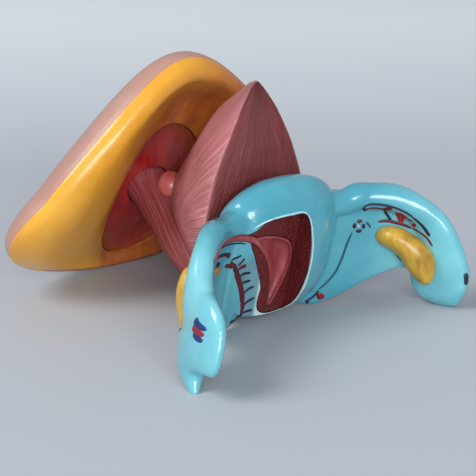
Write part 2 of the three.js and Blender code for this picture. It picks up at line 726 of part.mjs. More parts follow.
// The model is moved so that the middle of its footprint is the origin.
const box = new THREE.Box3().setFromObject(model);
const middle = box.getCenter(new THREE.Vector3());
model.children.forEach(mesh => mesh.position.set(-middle.x, -middle.y, -box.min.z));

export default model;
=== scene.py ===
import math

import bmesh
import bpy
import numpy as np
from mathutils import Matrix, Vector
from mathutils.bvhtree import BVHTree


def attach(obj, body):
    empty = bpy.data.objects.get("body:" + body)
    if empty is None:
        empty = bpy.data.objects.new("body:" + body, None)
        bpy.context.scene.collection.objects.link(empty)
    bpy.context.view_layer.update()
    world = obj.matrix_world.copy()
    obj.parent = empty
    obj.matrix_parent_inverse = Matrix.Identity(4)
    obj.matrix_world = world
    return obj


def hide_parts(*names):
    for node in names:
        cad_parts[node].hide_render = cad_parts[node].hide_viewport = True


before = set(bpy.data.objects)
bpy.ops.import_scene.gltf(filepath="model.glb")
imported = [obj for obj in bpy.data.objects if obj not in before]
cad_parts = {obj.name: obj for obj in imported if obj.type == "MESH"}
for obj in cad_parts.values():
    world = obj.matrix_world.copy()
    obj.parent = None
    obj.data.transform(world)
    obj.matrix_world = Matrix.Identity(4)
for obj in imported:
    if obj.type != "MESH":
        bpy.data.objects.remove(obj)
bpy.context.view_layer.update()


def unit(v):
    v = np.asarray(v, float)
    return v / np.linalg.norm(v)


# The forms below are in millimetres, in the frame that the model was drawn in. SHIFT takes them to the frame
# that its bodies are packed in.
MM = 0.001
SHIFT = np.array([0.3555, -63.4297, 0.0])

# Gaps between two shells, round a seated part, round a peg, and between the linings of cavity and tube
GAP, SEAT, PEG_GAP, HAIR = 0.3, 0.35, 0.175, 0.1

# Metres at which two points are one, angle at which an edge stays sharp, metres at which a face is on a cut
MERGE, SHARP, ON_CUT = 2e-6, math.radians(38), 0.00004

# Viewpoint of the photograph: degrees round and up, distance, the point looked at, then, in pixels of the
# photograph, its reach and its side
VIEW_TURN, VIEW_RISE, VIEW_DISTANCE = -40.978, 16.623, 600
VIEW_AIM = np.array([59.86, 120.33, 0])
VIEW_REACH, PHOTO_SIZE = 1366.8, 476

ACROSS = np.array([1.0, 0.0, 0.0])
BACK_TO_FRONT = np.array([0.0, 1.0, 0.0])
UP = np.array([0.0, 0.0, 1.0])

# Plate with the vulva. Lips, slot, hollow and opening have a half width and a half height.
PLATE_CENTRE = np.array([0.0, 102.0, 45.0])
TILT = math.radians(63.5)
TURN = math.radians(-2)
HALF_WIDTH, HALF_HEIGHT = 58, 51.2
NARROWING, FULLNESS, CORNER_PULL, BOTTOM_RISE = 0.35, 0.6, 1.25, 0.33
SIDE_DRAW, SIDE_TWIST = -11, 4
LIP_RELIEF, LIP_SPREAD, LIP_CENTRE = 6, 15, -12
LIP = (7, 24)
SLOT = (8.5, 23)
HOLLOW_EDGE, HOLLOW_SHIFT, HOLLOW_CENTRE = 0.4, 2, -13
HOLLOW = (21, 32)
ORIFICE = (5, 6)
PLATE_UP = np.array([0.0, -math.cos(TILT), math.sin(TILT)])
PLATE_OUT = np.array([0.0, math.sin(TILT), math.cos(TILT)])

# Rows of a shell: share of the way out, height, and dish at the top and at the bottom where there is any.
# The share weighs more in the smooth line through them, and no ring is nearer in than INMOST.
SKIN_OUTSIDE = [[0, 19], [0.2, 19.4], [0.4, 18.6], [0.6, 17], [0.76, 14.4], [0.88, 11], [0.96, 7.2],
                [0.995, 3], [1, 0]]
SKIN_INSIDE = [[0.95, 0], [0.935, 3.2], [0.87, 7], [0.75, 10.6], [0.6, 13.4], [0.43, 15], [0.36, 15.4],
               [0, 16]]
FAT_INSIDE = [[0.4, -3, 5, 5], [0.5, -6.5, 8, 8], [0.65, -9, 9, 9], [0.8, -9.8, 6, 9], [0.9, -8.2, 2, 8.5],
              [0.97, -4.6, 0, 6], [1, -0.9, 0, 1]]
FAT_RIM, FAT_INSET, FAT_END = [[1, 0.1], [0.985, 0.4]], 0.006, 0.1
FLOOR_INSIDE = [[0, 0], [0.14, 0], [0.22, 1.2], [0.3, 2, 1, 1], [0.36, 0.6, 3, 3], [0.395, -2, 5, 5]]
FLOOR_BACK = [[0.354, 15.1], [0, 15.7]]
FLOOR_EDGE = 14.7
SHARE_WEIGHT, INMOST = 50, 0.004

# Vestibule: a plug with two folds, a hood and a pore, each with a half width and a half height
PLUG_BASE, PLUG_THICK = 16, 3.5
FOLD, FOLD_REACH, FOLD_PLACES, FOLD_CURL = (1.5, 4.1), 16, (5, -5), 1.6
FOLD_RISE, FOLD_SEAT, FOLD_WAVE = 3, 4.4, 0.2
HOOD, HOOD_REACH, HOOD_RISE = (2.6, 3.4), 3, 16
PORE, PORE_RISE, PORE_FLOOR = (1.0, 1.2), 9.5, 1.5
BLUNT = 0.02

# Vagina: Y, Z, half width and half thickness of the wall, then of the passage. Its lower end is straight.
VAGINA = [[57.6, 12.5, 13, 9.5, 9.4, 6.2], [67, 14, 13, 9.6, 9, 5.2], [79, 19.5, 12, 9.6, 7.6, 4.6],
          [91, 27.5, 10.2, 9, 6.8, 4.4], [101, 34.5, 8.9, 8.6, 6.4, 4.4]]
WALL, PASSAGE = (2, 3), (4, 5)
STRAIGHT_FROM, SOCKET_TOP = 8, 14.2
LINING_WALL = 1.6

# Bladder: height above its base, front and back reach, half width at the back. Its three sides swell.
BLADDER_BASE = np.array([0.0, 62.0, 30.0])
LEAN = math.radians(23)
LIFT = np.array([0.0, -math.sin(LEAN), math.cos(LEAN)])
ALONG = np.array([0.0, math.cos(LEAN), math.sin(LEAN)])
BLADDER = [[-5, 30, -17, 19], [3, 29.5, -21, 25], [12, 27, -19, 26], [21, 24.5, -15, 23.5],
           [31, 21.3, -11.5, 19.5], [42, 17, -7, 14.4], [52, 10.5, -1.5, 8.5], [58, 6.5, 2, 3.5],
           [60.5, 4, 3, 0.7]]
SWELL_SIDE, SWELL_BACK = 0.5, 0.15
BULGE, BULGE_HEIGHT, BULGE_REACH = 0.15, 37, 13
BLADDER_CLEAR, LIFT_ROOM = 1, 32
NECK = [[0, 86, 37.5], [0, 96, 42]]
NECK_RADIUS, NECK_ROUNDING, NECK_HALF = 5.2, 0.94, 5
PEG_PLACES, PEG_RADIUS, PEG_LENGTH, PEG_DEPTH = (64, 80), 2, 10, 3.6

# Uterus: height, middle, half width, half depth and half the thickness of the ledge on the left. FOOT is the
# extra wall at its lower edge, which ends at FOOT_TOP.
UTERUS = [[0.8, 43, 3, 1.6, 0.5], [1.6, 42.4, 10.5, 5.4, 2.8], [3.8, 41, 16.6, 9.4, 4.8],
          [8, 37.5, 21, 12, 6.4], [16, 33.2, 23.5, 13.4, 7.1], [28, 30.6, 25, 13.6, 5.1],
          [38, 30, 26.5, 13, 2.8], [45, 29.2, 25, 11.6, 1.2], [50.5, 28, 19.8, 8.6, 0.4],
          [54, 27.2, 12, 5, 0], [55.2, 27, 3.5, 1.6, 0]]
SHOWN_WALL, SHOWN_GAP, FOOT, FOOT_TOP = 0.9, 0.4, 0.9, 14
COVER_GRAIN, COVER_EASE = 0.6, 14

# Window: the section's line in X and Y and its lean, the outline in X and Z, the reach of the room in it, and
# the X at which its cut faces end, which is further out below a height
SECTION_Z, SECTION_LEAN = 40, 0.25
SECTION_LINE = [[20, 24], [-17, 24], [-22, 23.7], [-26, 22.9], [-30, 21.7], [-34, 20], [-38, 17.8],
                [-42, 15.3], [-46, 12.6]]
WINDOW = [[5, 1.2], [5.2, 20], [5.4, 32], [5.1, 38], [4.4, 41], [3.4, 42.6], [2, 43.5], [0.4, 43.9],
          [-4, 43.8], [-8, 44.1], [-12, 43.8], [-15.5, 42.4], [-18, 40.4], [-20.5, 39.2], [-60, 38.5],
          [-60, 1.2]]
ROOM_Y, ROOM_TOP = (-9, 34), 76
CUT_END, LOW_CUT_END, LOW_CUT_TOP = -20, -25, 37

# Cavity: height, X, half width and half depth. Cervix: its two ends in Y, its width along it, and its canal.
CAVITY = [[6.6, -2, 1.1, 1], [9.5, -1.4, 2, 1.9], [12, -0.8, 2.5, 2.3], [15.6, 0, 3.2, 2.6],
          [20, 0.2, 4.2, 2.9], [24, 0, 5.2, 3.1], [28, -1.4, 5.9, 3.2], [31, -3.4, 6.3, 3.1],
          [33.2, -6, 5.6, 2.7], [34.8, -9, 4, 2.1], [35.8, -11.6, 2, 1.4]]
CAVITY_WALL, CAVITY_SET_BACK = 0.8, 0.6
CERVIX_Y = (40, 61.5)
CERVIX_WIDTH = [[0, 0.75], [0.15, 0.9], [0.7, 1], [0.9, 0.94], [1, 0.7]]
CANAL, CANAL_DEPTH = (2.4, 1.6), 6

# Tubes: X, Y, Z, the half sizes and the lean of the broad side
TUBE_LEFT = [[-18, 28, 42.6, 5.4, 5.4, 0], [-29, 25.2, 41.8, 4.6, 4.6, 0], [-38, 21, 42.2, 4.6, 4.6, 0],
             [-45.7, 15.5, 39, 3.9, 4.3, 0.1], [-50.6, 12, 33.5, 4.6, 4.3, 0.2],
             [-54.6, 7.9, 27, 7.7, 4.5, 0.3], [-57.6, 2.3, 19, 15.8, 4.7, 0.35],
             [-59.2, 2.2, 13.4, 16.8, 4.5, 0.35], [-60.2, 3, 9.4, 13.7, 4.2, 0.33],
             [-60.9, 3.2, 6.6, 9.6, 3.8, 0.3], [-61.5, 2.8, 4.6, 6.3, 3.3, 0.28],
             [-62.2, 1.6, 2.8, 3.9, 2.8, 0.25], [-63.2, 0, 1, 2.3, 2, 0.2],
             [-64.2, -1.9, -1.5, 0.8, 0.8, 0]]
TUBE_RIGHT = [[18, 28, 42.6, 5.4, 5.4, 0], [28, 25.2, 41.4, 4.8, 4.8, 0], [33.5, 23.2, 42.9, 5.2, 5.2, 0],
              [37, 21.6, 42.7, 5.2, 5.2, 0], [41, 19.3, 42.4, 5.6, 5.2, 0],
              [44.5, 16.8, 41.9, 6, 5.4, 0.05], [48.5, 13.5, 40, 6.4, 5.4, 0.1],
              [54, 8.5, 34.5, 7.4, 5.2, 0.2], [57, 5, 27, 8.6, 4.8, 0.3], [58.5, 4.2, 19, 10.6, 4.8, 0.35],
              [59.2, 3.8, 11, 12.4, 4.6, 0.35], [60, 1.6, 5.8, 10, 4, 0.3], [61.2, 0.2, 2.6, 6.8, 3, 0.2],
              [62, -0.8, 0.6, 3.2, 1.6, 0]]

# Passage in the left tube: X, Y, Z and half height. Its groove is squarer and starts at a later row.
LUMEN = [[-3.4, 31.2, 12, 0.3], [-3.6, 30.2, 16, 0.35], [-4.5, 29.2, 20, 0.4], [-5.9, 28.2, 24, 0.5],
         [-8.1, 27.2, 28, 0.7], [-10.8, 26.4, 31.4, 0.95], [-13.2, 25.7, 33.9, 1.1],
         [-15.6, 25.4, 35.5, 1.2], [-18.8, 25, 36.8, 1.25], [-23.6, 24.4, 38.1, 1.25],
         [-28.5, 22.9, 38.8, 1.2], [-32.7, 21.2, 39, 1.15], [-35.5, 19.9, 38.4, 1.1],
         [-37.6, 18.8, 36.9, 1], [-38.6, 18.6, 34.2, 0.6]]
LUMEN_SKIN, GROOVE_REACH, GROOVE_POWER, GROOVE_START = 0.7, 9, 8, 6

# Ligaments: X, Y, Z of the upper edge, then of the lower edge
LIGAMENT = [[12, 28, 40, 10, 38, 6], [20, 27, 40, 20, 35.5, 1], [30, 24, 39, 30, 31, 3],
            [40, 19, 40, 40, 23, 10], [50, 12.5, 38, 49, 16, 14], [57, 6, 32, 56, 9.5, 13]]
LIGAMENT_HALF = 2.3

# Ovaries: X, Y, Z of the middle line, half width across the view and half thickness
OVARY_FACE = unit([-0.63, -0.72, 0.286])
OVARIES = {"left": [[-50, 18.6, 34.6, 4.6, 5.4], [-50, 16.8, 27.6, 5.9, 6], [-50, 14.8, 20.9, 6.3, 6],
                    [-50, 12.6, 14.2, 5.8, 5.6], [-50, 10.8, 8, 4.4, 5]],
           "right": [[39.4, 19.5, 27.9, 5, 6.4], [42.1, 17, 27.6, 4.8, 6.8], [44.8, 14.2, 26.6, 4.7, 7],
                     [47.3, 11.3, 24.4, 4.9, 7.2], [49.6, 8.1, 20.8, 5.7, 7.4], [50.8, 5.6, 16.2, 6.4, 7],
                     [51.4, 3.6, 9.8, 5.8, 6.4]]}
OVARY_RINGS, OVARY_STEPS, OVARY_POWER = 44, 400, 2.5


def smooth(rows, steps):
    """Rows of numbers joined by a smooth curve and taken at even steps along it."""
    rows = np.asarray(rows, float)

    def curve(points):
        count = len(points)
        ends = np.vstack([2 * points[0] - points[1], points, 2 * points[-1] - points[-2]])
        out = []
        for i in range(steps + 1):
            t = i / steps * (count - 1)
            k = min(int(t), count - 2)
            w = t - k
            p = ends[k:k + 4]
            gaps = [float(np.sum((p[j + 1] - p[j]) ** 2)) ** 0.25 for j in range(3)]
            middle = gaps[1] if gaps[1] > 1e-4 else 1.0
            first = gaps[0] if gaps[0] > 1e-4 else middle
            last = gaps[2] if gaps[2] > 1e-4 else middle
            t1 = ((p[1] - p[0]) / first - (p[2] - p[0]) / (first + middle) + (p[2] - p[1]) / middle) * middle
            t2 = ((p[2] - p[1]) / middle - (p[3] - p[1]) / (middle + last) + (p[3] - p[2]) / last) * middle
            c2 = -3 * p[1] + 3 * p[2] - 2 * t1 - t2
            c3 = 2 * p[1] - 2 * p[2] + t1 + t2
            out.append(p[1] + t1 * w + c2 * w * w + c3 * w ** 3)
        return np.array(out)

    first = curve(rows[:, :3])
    return np.hstack([first, curve(rows[:, 3:])]) if rows.shape[1] > 3 else first


def ring(middle, side, top, a, b, count, power=2):
    angle = 2 * np.pi * np.arange(count) / count
    c, s = np.cos(angle), np.sin(angle)
    u = a * np.sign(c) * np.abs(c) ** (2 / power)
    v = b * np.sign(s) * np.abs(s) ** (2 / power)
    return np.asarray(middle, float) + u[:, None] * side + v[:, None] * top


def mesh_object(points, faces):
    mesh = bpy.data.meshes.new("form")
    mesh.from_pydata(((np.asarray(points) + SHIFT) * MM).tolist(), [], faces)
    mesh.validate()
    obj = bpy.data.objects.new("form", mesh)
    bpy.context.scene.collection.objects.link(obj)
    return obj


def skinned(rings, wrap=False):
    """Closed mesh over rings. Its ends are closed to a point, or the last ring meets the first."""
    rings = [np.asarray(r) for r in rings]
    count = len(rings[0])
    points = list(np.vstack(rings))
    faces = []
    for r in range(len(rings) if wrap else len(rings) - 1):
        upper = (r + 1) % len(rings)
        for c in range(count):
            n = (c + 1) % count
            faces.append((r * count + c, r * count + n, upper * count + n, upper * count + c))
    if not wrap:
        for end in (0, len(rings) - 1):
            points.append(rings[end].mean(0))
            for c in range(count):
                pair = [end * count + c, end * count + (c + 1) % count]
                faces.append((len(points) - 1, *(pair[::-1] if end == 0 else pair)))
    obj = mesh_object(points, faces)
    bm = bmesh.new()
    bm.from_mesh(obj.data)
    bmesh.ops.remove_doubles(bm, verts=bm.verts, dist=1e-7)
    bmesh.ops.recalc_face_normals(bm, faces=bm.faces)
    if bm.calc_volume(signed=True) < 0:
        bmesh.ops.reverse_faces(bm, faces=bm.faces)
    bm.to_mesh(obj.data)
    bm.free()
    return obj


def rod(start, end, side, a, b, count=48):
    start, end = np.asarray(start, float), np.asarray(end, float)
    top = np.cross(unit(end - start), side)
    return skinned([ring(place, side, top, a, b, count) for place in (start, end)])


def block(low, high):
    corners = [[x, y, z] for x in (low[0], high[0]) for y in (low[1], high[1]) for z in (low[2], high[2])]
    faces = [(0, 1, 3, 2), (4, 6, 7, 5), (0, 4, 5, 1), (2, 3, 7, 6), (0, 2, 6, 4), (1, 5, 7, 3)]
    return mesh_object(corners, faces)


def joined(obj, others, operation):
    """The object cut by, or joined to, the others, which are used up."""
    for other in others:
        step = obj.modifiers.new("step", "BOOLEAN")
        step.operation = operation
        step.solver = "MANIFOLD"
        step.object = other
    applied(obj)
    for other in others:
        mesh = other.data
        bpy.data.objects.remove(other)
        bpy.data.meshes.remove(mesh)
    return obj


def cut(obj, *others):
    return joined(obj, others, "DIFFERENCE")


def add(obj, *others):
    return joined(obj, others, "UNION")


def applied(obj):
    graph = bpy.context.evaluated_depsgraph_get()
    mesh = bpy.data.meshes.new_from_object(obj.evaluated_get(graph))
    obj.modifiers.clear()
    old = obj.data
    obj.data = mesh
    bpy.data.meshes.remove(old)


def above_table(obj):
    return cut(obj, block([-200, -200, -50], [200, 300, 0]))


def surface_of(obj):
    graph = bpy.context.evaluated_depsgraph_get()
    return BVHTree.FromObject(obj, graph)


def piece(obj, name, body, nodes, slot, *finishes):
    """Finishes a piece: name, shading, finishes, the body it rides on and the nodes it stands for."""
    obj.name = name
    obj.data.name = name
    bm = bmesh.new()
    bm.from_mesh(obj.data)
    bmesh.ops.remove_doubles(bm, verts=bm.verts, dist=MERGE)
    bmesh.ops.dissolve_degenerate(bm, edges=bm.edges, dist=MERGE)
    bm.to_mesh(obj.data)
    bm.free()
    obj.data.shade_smooth()
    obj.data.set_sharp_from_angle(angle=SHARP)
    obj.data.materials.clear()
    for finish in finishes:
        obj.data.materials.append(finish)
    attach(obj, body)
    if nodes:
        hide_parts(*nodes)


# Materials


class Finish:
    """A material built from procedural nodes over the object's own coordinates."""

    def __init__(self, name):
        self.material = bpy.data.materials.new(name)
        self.material.use_nodes = True
        self.tree = self.material.node_tree
        self.shader = self.tree.nodes["Principled BSDF"]
        self.place = self.node("ShaderNodeTexCoord", {})["Object"]

    def put(self, socket, value):
        if isinstance(value, bpy.types.NodeSocket):
            self.tree.links.new(value, socket)
        else:
            socket.default_value = value

    def node(self, kind, inputs, **settings):
        """Outputs of a new node, with its settings made and its inputs joined or set."""
        made = self.tree.nodes.new(kind)
        for key, value in settings.items():
            setattr(made, key, value)
        for key, value in inputs.items():
            self.put(made.inputs[key], value)
        return made.outputs

    def maths(self, operation, a, b=0.0):
        return self.node("ShaderNodeMath", {0: a, 1: b}, operation=operation)[0]

    def vector(self, operation, *values):
        outputs = self.node("ShaderNodeVectorMath", dict(enumerate(values)), operation=operation)
        return outputs["Value" if operation == "DOT_PRODUCT" else "Vector"]

    def axis(self, index, source=None):
        return self.node("ShaderNodeSeparateXYZ", {0: source or self.place})[index]

    def turned(self, source, kind, angle):
        return self.node("ShaderNodeVectorRotate", {"Vector": source, "Angle": angle}, rotation_type=kind)[0]

    def noise(self, scale, detail=3.0, roughness=0.5, source=None, distortion=0.0):
        inputs = {"Vector": source or self.place, "Scale": scale, "Detail": detail, "Roughness": roughness,
                  "Distortion": distortion}
        return self.node("ShaderNodeTexNoise", inputs)["Fac"]

    def streaks(self, scale, detail, roughness, rotation=(0, 0, 0), distortion=0.0):
        """Noise drawn out along the directions with the lower scale."""
        inputs = {"Vector": self.place, "Scale": scale, "Rotation": rotation}
        return self.noise(1.0, detail, roughness, self.node("ShaderNodeMapping", inputs)[0], distortion)

    def cells(self, scale):
        return self.node("ShaderNodeTexVoronoi", {"Vector": self.place, "Scale": scale})["Distance"]

    def ramp(self, value, *stops):
        made = self.tree.nodes.new("ShaderNodeValToRGB")
        self.put(made.inputs["Fac"], value)
        line = made.color_ramp
        for end in (0, -1):
            line.elements[end].position = stops[end][0]
            line.elements[end].color = colour(stops[end][1])
        for place, tint in stops[1:-1]:
            line.elements.new(place).color = colour(tint)
        return made.outputs["Color"]

    def fade(self, value, low, high):
        inputs = {"Value": value, "From Min": low, "From Max": high}
        return self.node("ShaderNodeMapRange", inputs, interpolation_type="SMOOTHSTEP")["Result"]

    def mix(self, share, a, b):
        a, b = (v if isinstance(v, bpy.types.NodeSocket) else colour(v) for v in (a, b))
        return self.node("ShaderNodeMix", {0: share, 6: a, 7: b}, data_type="RGBA")[2]

    def bump(self, *layers, soft=0.0003):
        """Height layers, each (socket, depth in metres), over edges softened by a small radius."""
        normal = self.node("ShaderNodeBevel", {"Radius": soft}, samples=4)[0]
        for height, depth in layers:
            normal = self.node("ShaderNodeBump", {"Distance": depth, "Height": height, "Normal": normal})[0]
        self.put(self.shader.inputs["Normal"], normal)

    def set(self, **values):
        names = {"tint": "Base Color", "rough": "Roughness", "coat": "Coat Weight", "metal": "Metallic",
                 "coat_rough": "Coat Roughness", "gloss": "Specular IOR Level", "deep": "Subsurface Weight",
                 "deep_size": "Subsurface Scale"}
        for key, value in values.items():
            self.put(self.shader.inputs[names[key]], value)
        return self.material


def colour(rgb):
    """Screen colour, 0 to 255, as the linear colour that a socket takes."""
    linear = [c / 255 / 12.92 if c / 255 <= 0.04045 else ((c / 255 + 0.055) / 1.055) ** 2.4 for c in rgb]
    return (*linear, 1.0)


def packed_place(point):
    return tuple((np.asarray(point, float) + SHIFT) * MM)


def view_axes():
    """Directions of the photograph: out towards the viewer, to the right and up."""
    turn, rise = math.radians(VIEW_TURN), math.radians(VIEW_RISE)
    away = np.array([math.sin(turn) * math.cos(rise), -math.cos(turn) * math.cos(rise), math.sin(rise)])
    right = np.array([math.cos(turn), math.sin(turn), 0])
    return away, right, np.cross(away, right)


def round_fibres(f, origin, lean, around, along, twist=0.0):
    """Coordinates for fibres that run along a leaning axis and fan together where the body narrows."""
    upright = f.turned(f.vector("SUBTRACT", f.place, packed_place(origin)), "X_AXIS", -lean)
    spun = f.turned(upright, "Z_AXIS", f.maths("MULTIPLY", f.axis(2, upright), twist))
    flat = f.vector("NORMALIZE", f.vector("MULTIPLY", spun, (1, 1, 0)))
    rise = f.vector("MULTIPLY", spun, (0, 0, along))
    return f.vector("MULTIPLY_ADD", flat, (around, around, around), rise)


def turquoise():
    """Turquoise that is a little uneven, and paler out on the lobes of the tubes, where the paleness is a
    painted highlight.
    """
    f = Finish("turquoise_gloss")
    cloud = f.noise(28, 4, 0.55)
    middle = f.ramp(cloud, (0.3, (60, 138, 157)), (0.52, (70, 148, 166)), (0.75, (84, 160, 176)))
    pale = f.ramp(cloud, (0.3, (92, 167, 182)), (0.52, (105, 179, 192)), (0.75, (122, 191, 203)))
    aside = f.maths("ADD", f.maths("ABSOLUTE", f.axis(0)), f.maths("MULTIPLY", cloud, 0.014))
    sheen = f.ramp(f.noise(90, 3), (0.3, (76, 76, 76)), (0.7, (104, 104, 104)))
    waves = f.noise(70, 2, 0.4)
    f.bump((cloud, 0.0008), (waves, 0.0008), (f.noise(170, 2), 0.0002), (f.noise(420), 0.00004))
    # Out on the lobes the tint turns paler: a painted highlight.
    tint = f.mix(f.fade(aside, 0.044, 0.064), middle, pale)
    return f.set(tint=tint, rough=sheen, coat=0.4, coat_rough=0.2, deep=0.08, deep_size=0.004)


def cut_face():
    """The cover where the window cuts it: near white next to the muscle, partly the cut's own whitish paint
    and partly a painted highlight on its rounded lip, and greyer low down beside that.
    """
    f = Finish("turquoise_cut_face")
    strip_lean, strip_x = -0.349, -12.6
    x = f.maths("DIVIDE", f.axis(0), MM)
    z = f.maths("DIVIDE", f.axis(2), MM)
    strip_edge = f.maths("ADD", f.maths("MULTIPLY", z, strip_lean), strip_x + SHIFT[0])
    strip = f.fade(f.maths("SUBTRACT", x, strip_edge), -0.5, 0.5)
    base = f.ramp(f.noise(60, 4), (0.3, (76, 154, 172)), (0.7, (92, 170, 184)))
    grey = f.ramp(f.noise(140, 4), (0.3, (74, 126, 144)), (0.7, (100, 146, 160)))
    tint = f.mix(f.maths("MULTIPLY", strip, f.fade(z, 31, 26)), base, grey)
    # Near white next to the muscle: partly whitish paint on the cut and partly a painted highlight.
    tint = f.mix(f.fade(x, -9.5, -7.5), tint, (186, 206, 212))
    f.bump((f.noise(300), 0.00008))
    return f.set(tint=tint, rough=0.32, coat=0.3, coat_rough=0.15)


def skin():
    f = Finish("skin_pink")
    wide = f.noise(22, 4, 0.6)
    tint = f.ramp(wide, (0.25, (162, 118, 106)), (0.5, (172, 130, 117)), (0.75, (184, 146, 133)))
    pores = f.cells(900)
    lines = f.noise(260, 4, 0.65)
    f.bump((wide, 0.0005), (pores, 0.00006), (lines, 0.00008))
    return f.set(tint=tint, rough=0.42, coat=0.1, deep=0.12, deep_size=0.004)


def rose_skin():
    f = Finish("skin_rose")
    tint = f.ramp(f.noise(120, 4, 0.6), (0.3, (186, 108, 108)), (0.7, (216, 142, 140)))
    f.bump((f.noise(240, 4, 0.6), 0.0002))
    return f.set(tint=tint, rough=0.36, coat=0.2, deep=0.1, deep_size=0.003)


def mustard(name, low, high):
    """Mustard brushed on along the ovary, with darker streaks."""
    f = Finish(name)
    streaks = f.streaks((90, 260, 90), 4, 0.6, distortion=0.3)
    brushed = f.ramp(streaks, (0.3, (138, 96, 26)), (0.5, low), (0.7, high))
    tint = f.mix(f.fade(f.noise(30, 4, 0.55), 0.45, 0.75), brushed, high)
    f.bump((f.noise(75, 2, 0.45), 0.0007), (streaks, 0.00025), (f.noise(330), 0.00005))
    return f.set(tint=tint, rough=0.36, coat=0.22, coat_rough=0.2, deep=0.1, deep_size=0.004)


def hollow_reach(f, shift):
    """How far out from the middle of the plate's hollow, moved across in millimetres, with 1 at its edge."""
    middle = PLATE_CENTRE + PLATE_UP * HOLLOW_CENTRE + ACROSS * shift
    place = f.vector("SUBTRACT", f.place, packed_place(middle))
    squares = []
    for way, half in ((ACROSS, HOLLOW[0]), (PLATE_UP, HOLLOW[1])):
        share = f.maths("DIVIDE", f.vector("DOT_PRODUCT", place, tuple(way)), half * MM)
        squares.append(f.maths("MULTIPLY", share, share))
    return f.maths("SQRT", f.maths("ADD", *squares))


def wavering(f, scale, size):
    """Noise about zero that makes an edge between two colours uneven."""
    return f.maths("MULTIPLY", f.maths("SUBTRACT", f.noise(scale), 0.5), size)


def fat():
    """Mustard on the ridge, running into a redder brown towards the hollow; the brown is partly the fat's own
    tint and partly painted shade of the hollow.
    """
    f = Finish("fat_mustard")
    # The middle of the brown is moved 20 mm to the right, so the right side, which lies in shade, gets
    # painted shade.
    ridge = f.fade(f.maths("ADD", hollow_reach(f, 20), wavering(f, 45, 0.5)), 1.6, 2.35)
    bright = f.ramp(f.noise(30, 4, 0.55), (0.25, (206, 142, 36)), (0.75, (226, 168, 52)))
    streaks = f.streaks((240, 60, 60), 4, 0.55, rotation=(0, 0.5, 0))
    brown = f.ramp(streaks, (0.3, (150, 72, 26)), (0.6, (176, 96, 32)), (0.8, (196, 122, 48)))
    f.bump((f.noise(75, 2, 0.45), 0.0006), (streaks, 0.00015), (f.noise(330), 0.00005))
    tint = f.mix(ridge, brown, bright)
    return f.set(tint=tint, rough=0.32, coat=0.35, coat_rough=0.14, deep=0.1, deep_size=0.004)


def deep_red():
    """Deep red strands that turn brown towards the edge of the hollow."""
    f = Finish("deep_red")
    strands = f.streaks((260, 60, 60), 4, 0.6)
    tint = f.ramp(strands, (0.3, (114, 18, 16)), (0.55, (148, 30, 27)), (0.8, (174, 52, 44)))
    edge = f.fade(f.maths("ADD", hollow_reach(f, HOLLOW_SHIFT), wavering(f, 60, 0.4)), 0.72, 1.08)
    f.bump((strands, 0.0004), (f.noise(300), 0.0001))
    return f.set(tint=f.mix(edge, tint, (136, 62, 26)), rough=0.3, coat=0.5, coat_rough=0.15)


def dusky_red():
    f = Finish("dusky_red")
    strands = f.noise(1.0, 5, 0.6, round_fibres(f, [0, 57, 12], math.radians(-54), 16, 22))
    tint = f.ramp(strands, (0.28, (106, 38, 44)), (0.5, (142, 62, 68)), (0.78, (180, 104, 106)))
    f.bump((strands, 0.0003), (f.noise(500, 2), 0.00008))
    return f.set(tint=tint, rough=0.32, coat=0.3)


def bladder_pink():
    """Pink fibres that wind round the lit faces, and dark red ones that run straight up the rear, which faces
    away from the light; that dark red is partly the paint's own colour and partly painted shade.
    """
    f = Finish("bladder_pink")
    fan = BLADDER_BASE + ALONG * 3
    strands = f.noise(1.0, 4, 0.6, round_fibres(f, fan, LEAN, 70, 40, -26), 0.5)
    straight = f.noise(1.0, 4, 0.55, round_fibres(f, fan, LEAN, 56, 30), 0.4)
    pink = f.ramp(strands, (0.3, (140, 72, 80)), (0.5, (178, 108, 114)), (0.7, (218, 162, 166)))
    pink = f.mix(f.fade(f.noise(26), 0.35, 0.75), pink, (172, 94, 98))
    red = f.ramp(straight, (0.3, (80, 14, 13)), (0.5, (106, 24, 22)), (0.72, (134, 48, 45)))
    # The rear is picked by the way the surface faces, so its darker red is partly painted shade.
    facing = f.vector("DOT_PRODUCT", f.node("ShaderNodeNewGeometry", {})["Normal"], tuple(-ALONG))
    uneven = f.maths("MULTIPLY", f.maths("SUBTRACT", strands, 0.5), 1.2)
    rear = f.fade(f.maths("ADD", facing, uneven), 0.25, 0.95)
    f.bump((f.mix(rear, strands, straight), 0.0006), (f.noise(520, 2), 0.00005))
    return f.set(tint=f.mix(rear, pink, red), rough=0.38, coat=0.2)


def neck_pink():
    f = Finish("neck_pink")
    tint = f.ramp(f.noise(170, 4), (0.3, (176, 78, 76)), (0.7, (206, 112, 106)))
    f.bump((f.noise(320), 0.00015))
    return f.set(tint=tint, rough=0.35, coat=0.25)


def maroon():
    """Dark grainy muscle with pale specks."""
    f = Finish("muscle_maroon")
    pits = f.cells(1100)
    grain = f.noise(1300, 3, 0.6)
    tint = f.ramp(grain, (0.3, (62, 6, 8)), (0.55, (90, 14, 14)), (0.75, (118, 32, 28)))
    f.bump((pits, 0.0003), (grain, 0.0002))
    return f.set(tint=f.mix(f.fade(pits, 0.16, 0.06), tint, (168, 96, 96)), rough=0.5)


def rose(name):
    f = Finish(name)
    run = f.streaks((220, 60, 40), 4, 0.55)
    tint = f.ramp(run, (0.3, (116, 42, 46)), (0.55, (138, 58, 62)), (0.8, (162, 84, 86)))
    f.bump((run, 0.0003))
    return f.set(tint=tint, rough=0.4, coat=0.15)


def metal():
    f = Finish("peg_metal")
    rub = f.streaks((900, 900, 60), 3, 0.5)
    f.bump((rub, 0.00003))
    return f.set(tint=f.ramp(rub, (0.3, (150, 152, 156)), (0.7, (196, 198, 202))), metal=1.0, rough=0.32)


